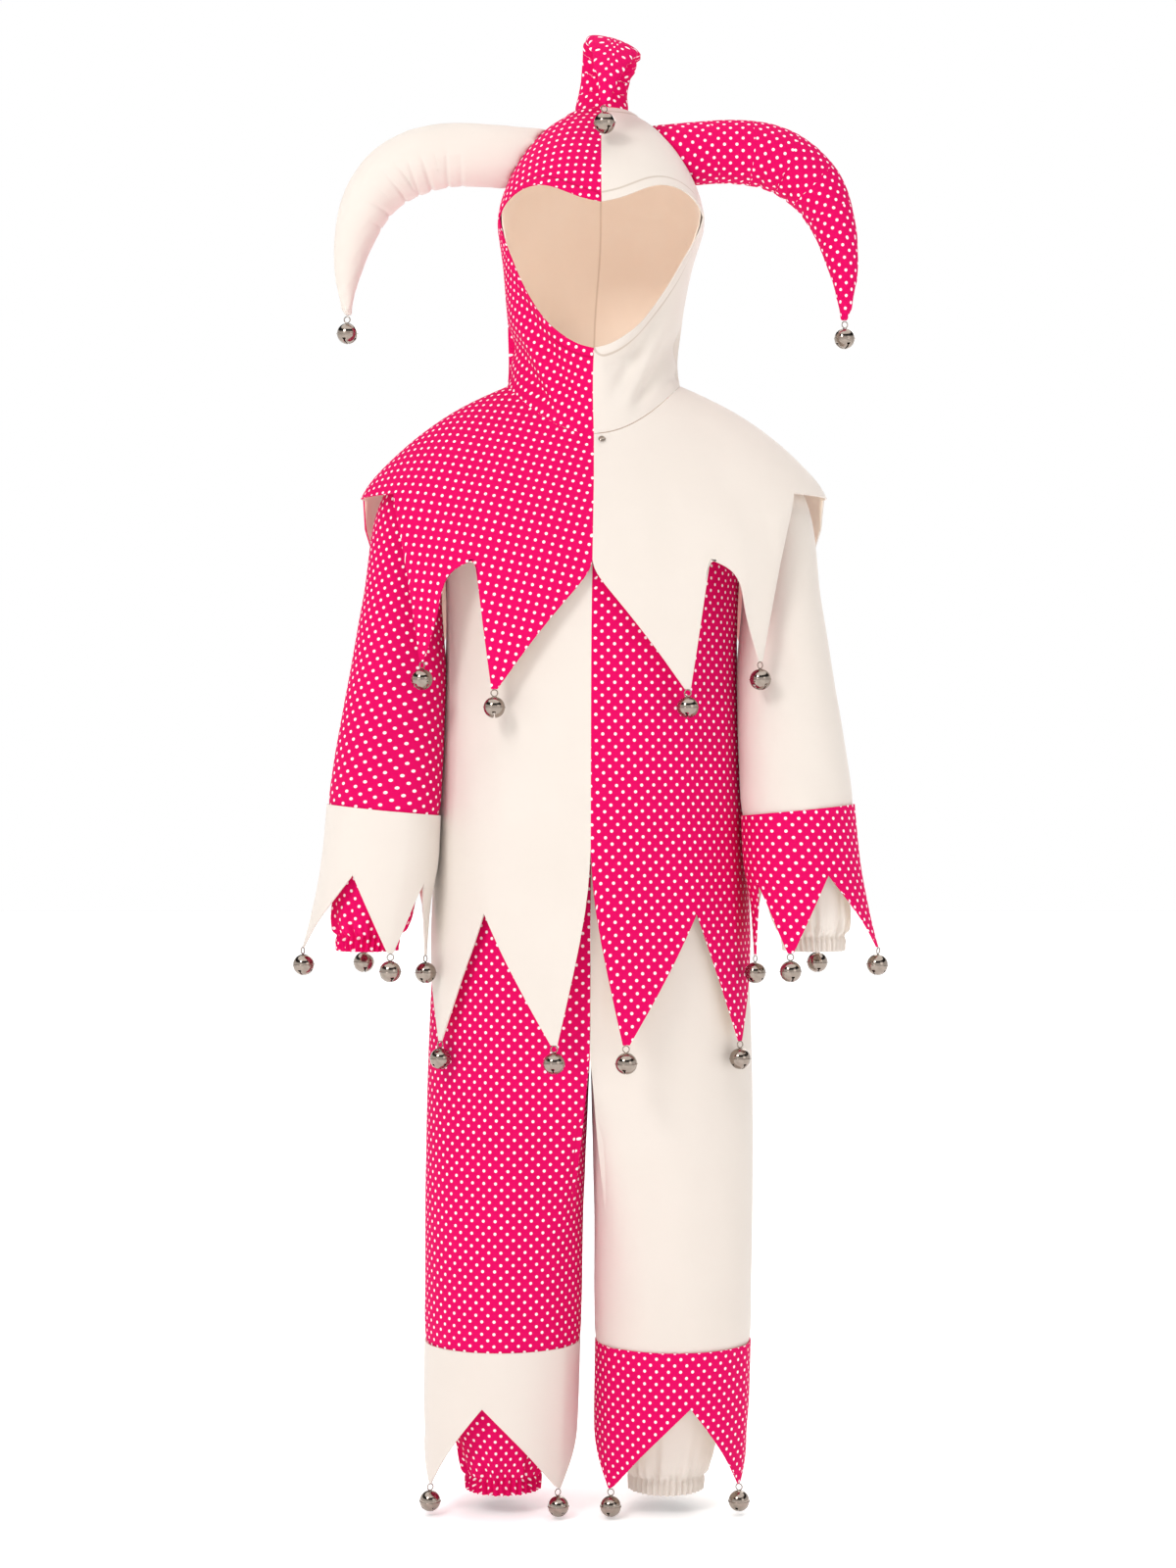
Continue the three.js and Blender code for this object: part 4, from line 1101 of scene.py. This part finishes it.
def horn_piece(node, line, front, bend, wrinkles):
    """A stuffed horn over its node, with wrinkles in the inside of its bend and its tip drawn out again."""
    obj = mesh_copy(node, f"{node}_stuffed")
    mark_sharp(obj)
    places = np.array([point for point, _, _ in line])
    total = line[-1][2]

    def reach():
        return max(along_line(line, places, vertex.co)[2] for vertex in obj.data.vertices)

    tip = reach()
    smoothed(obj, SMOOTH_LEVELS)
    remesh = obj.modifiers.new("voxels", "REMESH")
    remesh.mode = "VOXEL"
    remesh.voxel_size = HORN_VOXEL
    bake(obj)
    puff(obj, lambda co: eased((tip - along_line(line, places, co)[2]) / TIP_LENGTH))
    smoothed(obj, SMOOTH_LEVELS)
    blunt = reach()

    def shift(co):
        point, run, along = along_line(line, places, co)
        away = co - point
        outward = (away - run * away.dot(run)).normalized()
        inside = max(0.0, outward.dot(bend))
        press = sum(depth * hill(along / total - at, spread) for at, spread, depth in wrinkles)
        slow = noise.noise(co * HORN_WAVES) * HORN_RIPPLE
        into_root = ROOT_REACH * eased(1 - along / ROOT_LENGTH)
        drawn_out = (tip - blunt) * eased(1 - (blunt - along) / TIP_LENGTH)
        return outward * (slow - press * inside) + run * (drawn_out - into_root)

    move_points(obj, shift)
    wrap_horn(obj, line, places, front)
    obj.data.materials.clear()
    obj.data.materials.append(cloth_of[slot_of[node]])
    obj.data.shade_smooth()
    stand_for(obj, node)


def dress_horns():
    """The two side horns and the one on top, which folds over to the front."""
    for side, sign in (("left", 1), ("right", -1)):
        shift = LEFT_HORN_SHIFT if side == "left" else Vector()
        line = spaced_line([Vector((sign * x, 0, z)) + shift for x, z in SIDE_HORN_LINE])
        bend = Vector((-sign, 0, -1)).normalized()
        horn_piece(f"horn_{side}", line, Vector((0, -1, 0)), bend, SIDE_WRINKLES)
    line = spaced_line([Vector(point) for point in TOP_HORN_LINE])
    front = Vector((-0.2, -0.6, 0.8)).normalized()
    bend = Vector((0, -1, -1)).normalized()
    horn_piece("horn_top", line, front, bend, TOP_WRINKLES)


# Bells


def on_ball(point):
    """Where a point of a cube from -1 to 1 goes on the unit ball, with even steps in angle."""
    return Vector([math.tan(part * math.pi / 4) for part in point]).normalized()


def in_slot(way):
    """Whether a direction from the bell's centre falls in the cross of slots below or in their round ends."""
    if way.z > 0:
        return False
    across, along = sorted((abs(way.x), abs(way.y)))
    reach = math.degrees(math.atan2(along, -way.z))
    aside = math.degrees(math.asin(across))
    return (aside < SLOT_HALF and reach < SLOT_END) or math.hypot(reach - SLOT_END, aside) < HOLE_RADIUS


def bell_shell():
    """The bell's shell: a ball whose grid of faces has a cross of slots left open."""
    bm = bmesh.new()
    bmesh.ops.create_cube(bm, size=2)
    bmesh.ops.subdivide_edges(bm, edges=bm.edges, cuts=BELL_GRID - 1, use_grid_fill=True)
    opened = [face for face in bm.faces if in_slot(on_ball(face.calc_center_median()))]
    bmesh.ops.delete(bm, geom=opened, context="FACES")
    for vert in bm.verts:
        vert.co = on_ball(vert.co) * BELL_RADIUS
    mesh = bpy.data.meshes.new("bell_shell")
    bm.to_mesh(mesh)
    bm.free()
    shell = add_object("bell_shell", mesh)
    wall = shell.modifiers.new("wall", "SOLIDIFY")
    wall.thickness = SHELL
    wall.offset = -1
    bake(shell)
    return shell


def bell_mesh():
    """A jingle bell about its own centre: the shell, its seam band, a wire ring on top and a pea inside."""
    shell = bell_shell()
    bm = bmesh.new()
    bm.from_mesh(shell.data)
    bpy.data.objects.remove(shell)
    add_torus(bm, Vector(), Vector((0, 0, 1)), BELL_RADIUS + BAND_RISE, BAND_WIRE, 40)
    top = BELL_RADIUS + RING_RADIUS + RING_WIRE - RING_SINK
    add_torus(bm, Vector((0, 0, top)), Vector((0, 1, 0)), RING_RADIUS, RING_WIRE, 20)
    bmesh.ops.create_uvsphere(bm, u_segments=12, v_segments=8, radius=PEA_RADIUS)
    mesh = bpy.data.meshes.new("jingle_bell")
    bm.to_mesh(mesh)
    bm.free()
    mesh.materials.append(bell_nickel)
    mesh.shade_smooth()
    return mesh


def add_torus(bm, centre, axis, radius, wire, around):
    """A ring of round wire about an axis, with a number of steps around."""
    first = axis.orthogonal().normalized()
    second = axis.cross(first)
    rings = []
    for k in range(around):
        turn = 2 * math.pi * k / around
        out = first * math.cos(turn) + second * math.sin(turn)
        ring = []
        for n in range(WIRE_SIDES):
            lean = 2 * math.pi * n / WIRE_SIDES
            across = out * (radius + wire * math.cos(lean))
            ring.append(bm.verts.new(centre + across + axis * wire * math.sin(lean)))
        rings.append(ring)
    for k in range(around):
        here, beyond = rings[k], rings[(k + 1) % around]
        for n in range(WIRE_SIDES):
            following = (n + 1) % WIRE_SIDES
            bm.faces.new((here[n], beyond[n], beyond[following], here[following]))


def hang_bells():
    """A bell in every bell node's place, each turned and tilted its own way."""
    mesh = bell_mesh()
    for k, node in enumerate(sorted(name for name in nodes if name.startswith("bell_"))):
        low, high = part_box(node)
        bell = add_object(f"{node}_jingle", mesh)
        bell.location = ((low.x + high.x) / 2, (low.y + high.y) / 2, low.z + BELL_RADIUS)
        tilt = BELL_TILT * math.sin(2.3 * k)
        bell.rotation_euler = (math.radians(tilt), 0, math.radians(BELL_TURN * k % 90 - 20))
        stand_for(bell, node)


def dress_snap():
    """The neck snap: a small domed cap in its node's place."""
    low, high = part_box("neck_snap")
    centre = (low + high) / 2
    bm = bmesh.new()
    bmesh.ops.create_uvsphere(bm, u_segments=20, v_segments=12, radius=SNAP_RADIUS)
    for vert in bm.verts:
        vert.co.z *= SNAP_FLATNESS
    add_torus(bm, Vector(), Vector((0, 0, 1)), SNAP_RIM, SNAP_WIRE, 24)
    mesh = bpy.data.meshes.new("neck_snap_cap")
    bm.to_mesh(mesh)
    bm.free()
    mesh.materials.append(bell_nickel)
    mesh.shade_smooth()
    snap = add_object("neck_snap_cap", mesh)
    snap.location = centre
    snap.rotation_mode = "QUATERNION"
    snap.rotation_quaternion = Vector(SNAP_FACING).to_track_quat("Z", "Y")
    stand_for(snap, "neck_snap")


# Studio


def add_light(name, place, target, size, power):
    """A soft rectangular light that points at a target."""
    data = bpy.data.lights.new(name, "AREA")
    data.shape = "RECTANGLE"
    data.size, data.size_y = size
    data.energy = power
    light = add_object(name, data)
    light.location = place
    light.rotation_mode = "QUATERNION"
    light.rotation_quaternion = (Vector(target) - Vector(place)).to_track_quat("-Z", "Y")


def make_world():
    """White all round and above, with a dark band high up that gives the bells something to mirror."""
    world = bpy.data.worlds.new("studio")
    bpy.context.scene.world = world
    world.use_nodes = True
    tree = world.node_tree
    way = tree.nodes.new("ShaderNodeTexCoord")
    split = tree.nodes.new("ShaderNodeSeparateXYZ")
    tree.links.new(way.outputs["Generated"], split.inputs[0])
    height = tree.nodes.new("ShaderNodeMapRange")
    height.inputs["From Min"].default_value = -1
    tree.links.new(split.outputs["Z"], height.inputs["Value"])
    ramp = tree.nodes.new("ShaderNodeValToRGB")
    steps = ramp.color_ramp.elements
    steps.remove(steps[1])
    for k, (place, brightness) in enumerate(SKY_BANDS):
        step = steps[0] if k == 0 else steps.new(place)
        step.color = (brightness, brightness, brightness, 1)
    tree.links.new(height.outputs["Result"], ramp.inputs["Fac"])
    background = tree.nodes["Background"]
    background.inputs["Strength"].default_value = SKY_STRENGTH
    tree.links.new(ramp.outputs["Color"], background.inputs["Color"])


def make_floor():
    """A wide sheet of white paper just below the costume."""
    mesh = bpy.data.meshes.new("floor")
    height = cad_low.z - FLOOR_GAP
    corners = [(x * FLOOR_REACH, y * FLOOR_REACH, height) for x, y in ((-1, -1), (1, -1), (1, 1), (-1, 1))]
    mesh.from_pydata(corners, [], [(0, 1, 2, 3)])
    floor = add_object("floor", mesh)
    paper = bpy.data.materials.new("paper")
    paper.use_nodes = True
    shader = paper.node_tree.nodes["Principled BSDF"]
    shader.inputs["Base Color"].default_value = (*PAPER, 1)
    shader.inputs["Roughness"].default_value = 1.0
    shader.inputs["Specular IOR Level"].default_value = 0.0
    even_glow(paper, (1, 1, 1), PAPER_GLOW)
    mesh.materials.append(paper)


def make_studio():
    """World, lights and floor, with colours shown as they are."""
    make_world()
    for name, light in LIGHTS.items():
        add_light(name, *light)
    make_floor()
    bpy.context.scene.view_settings.view_transform = "Standard"


make_camera()
make_studio()
dress_body()
dress_horns()
hang_bells()
dress_snap()
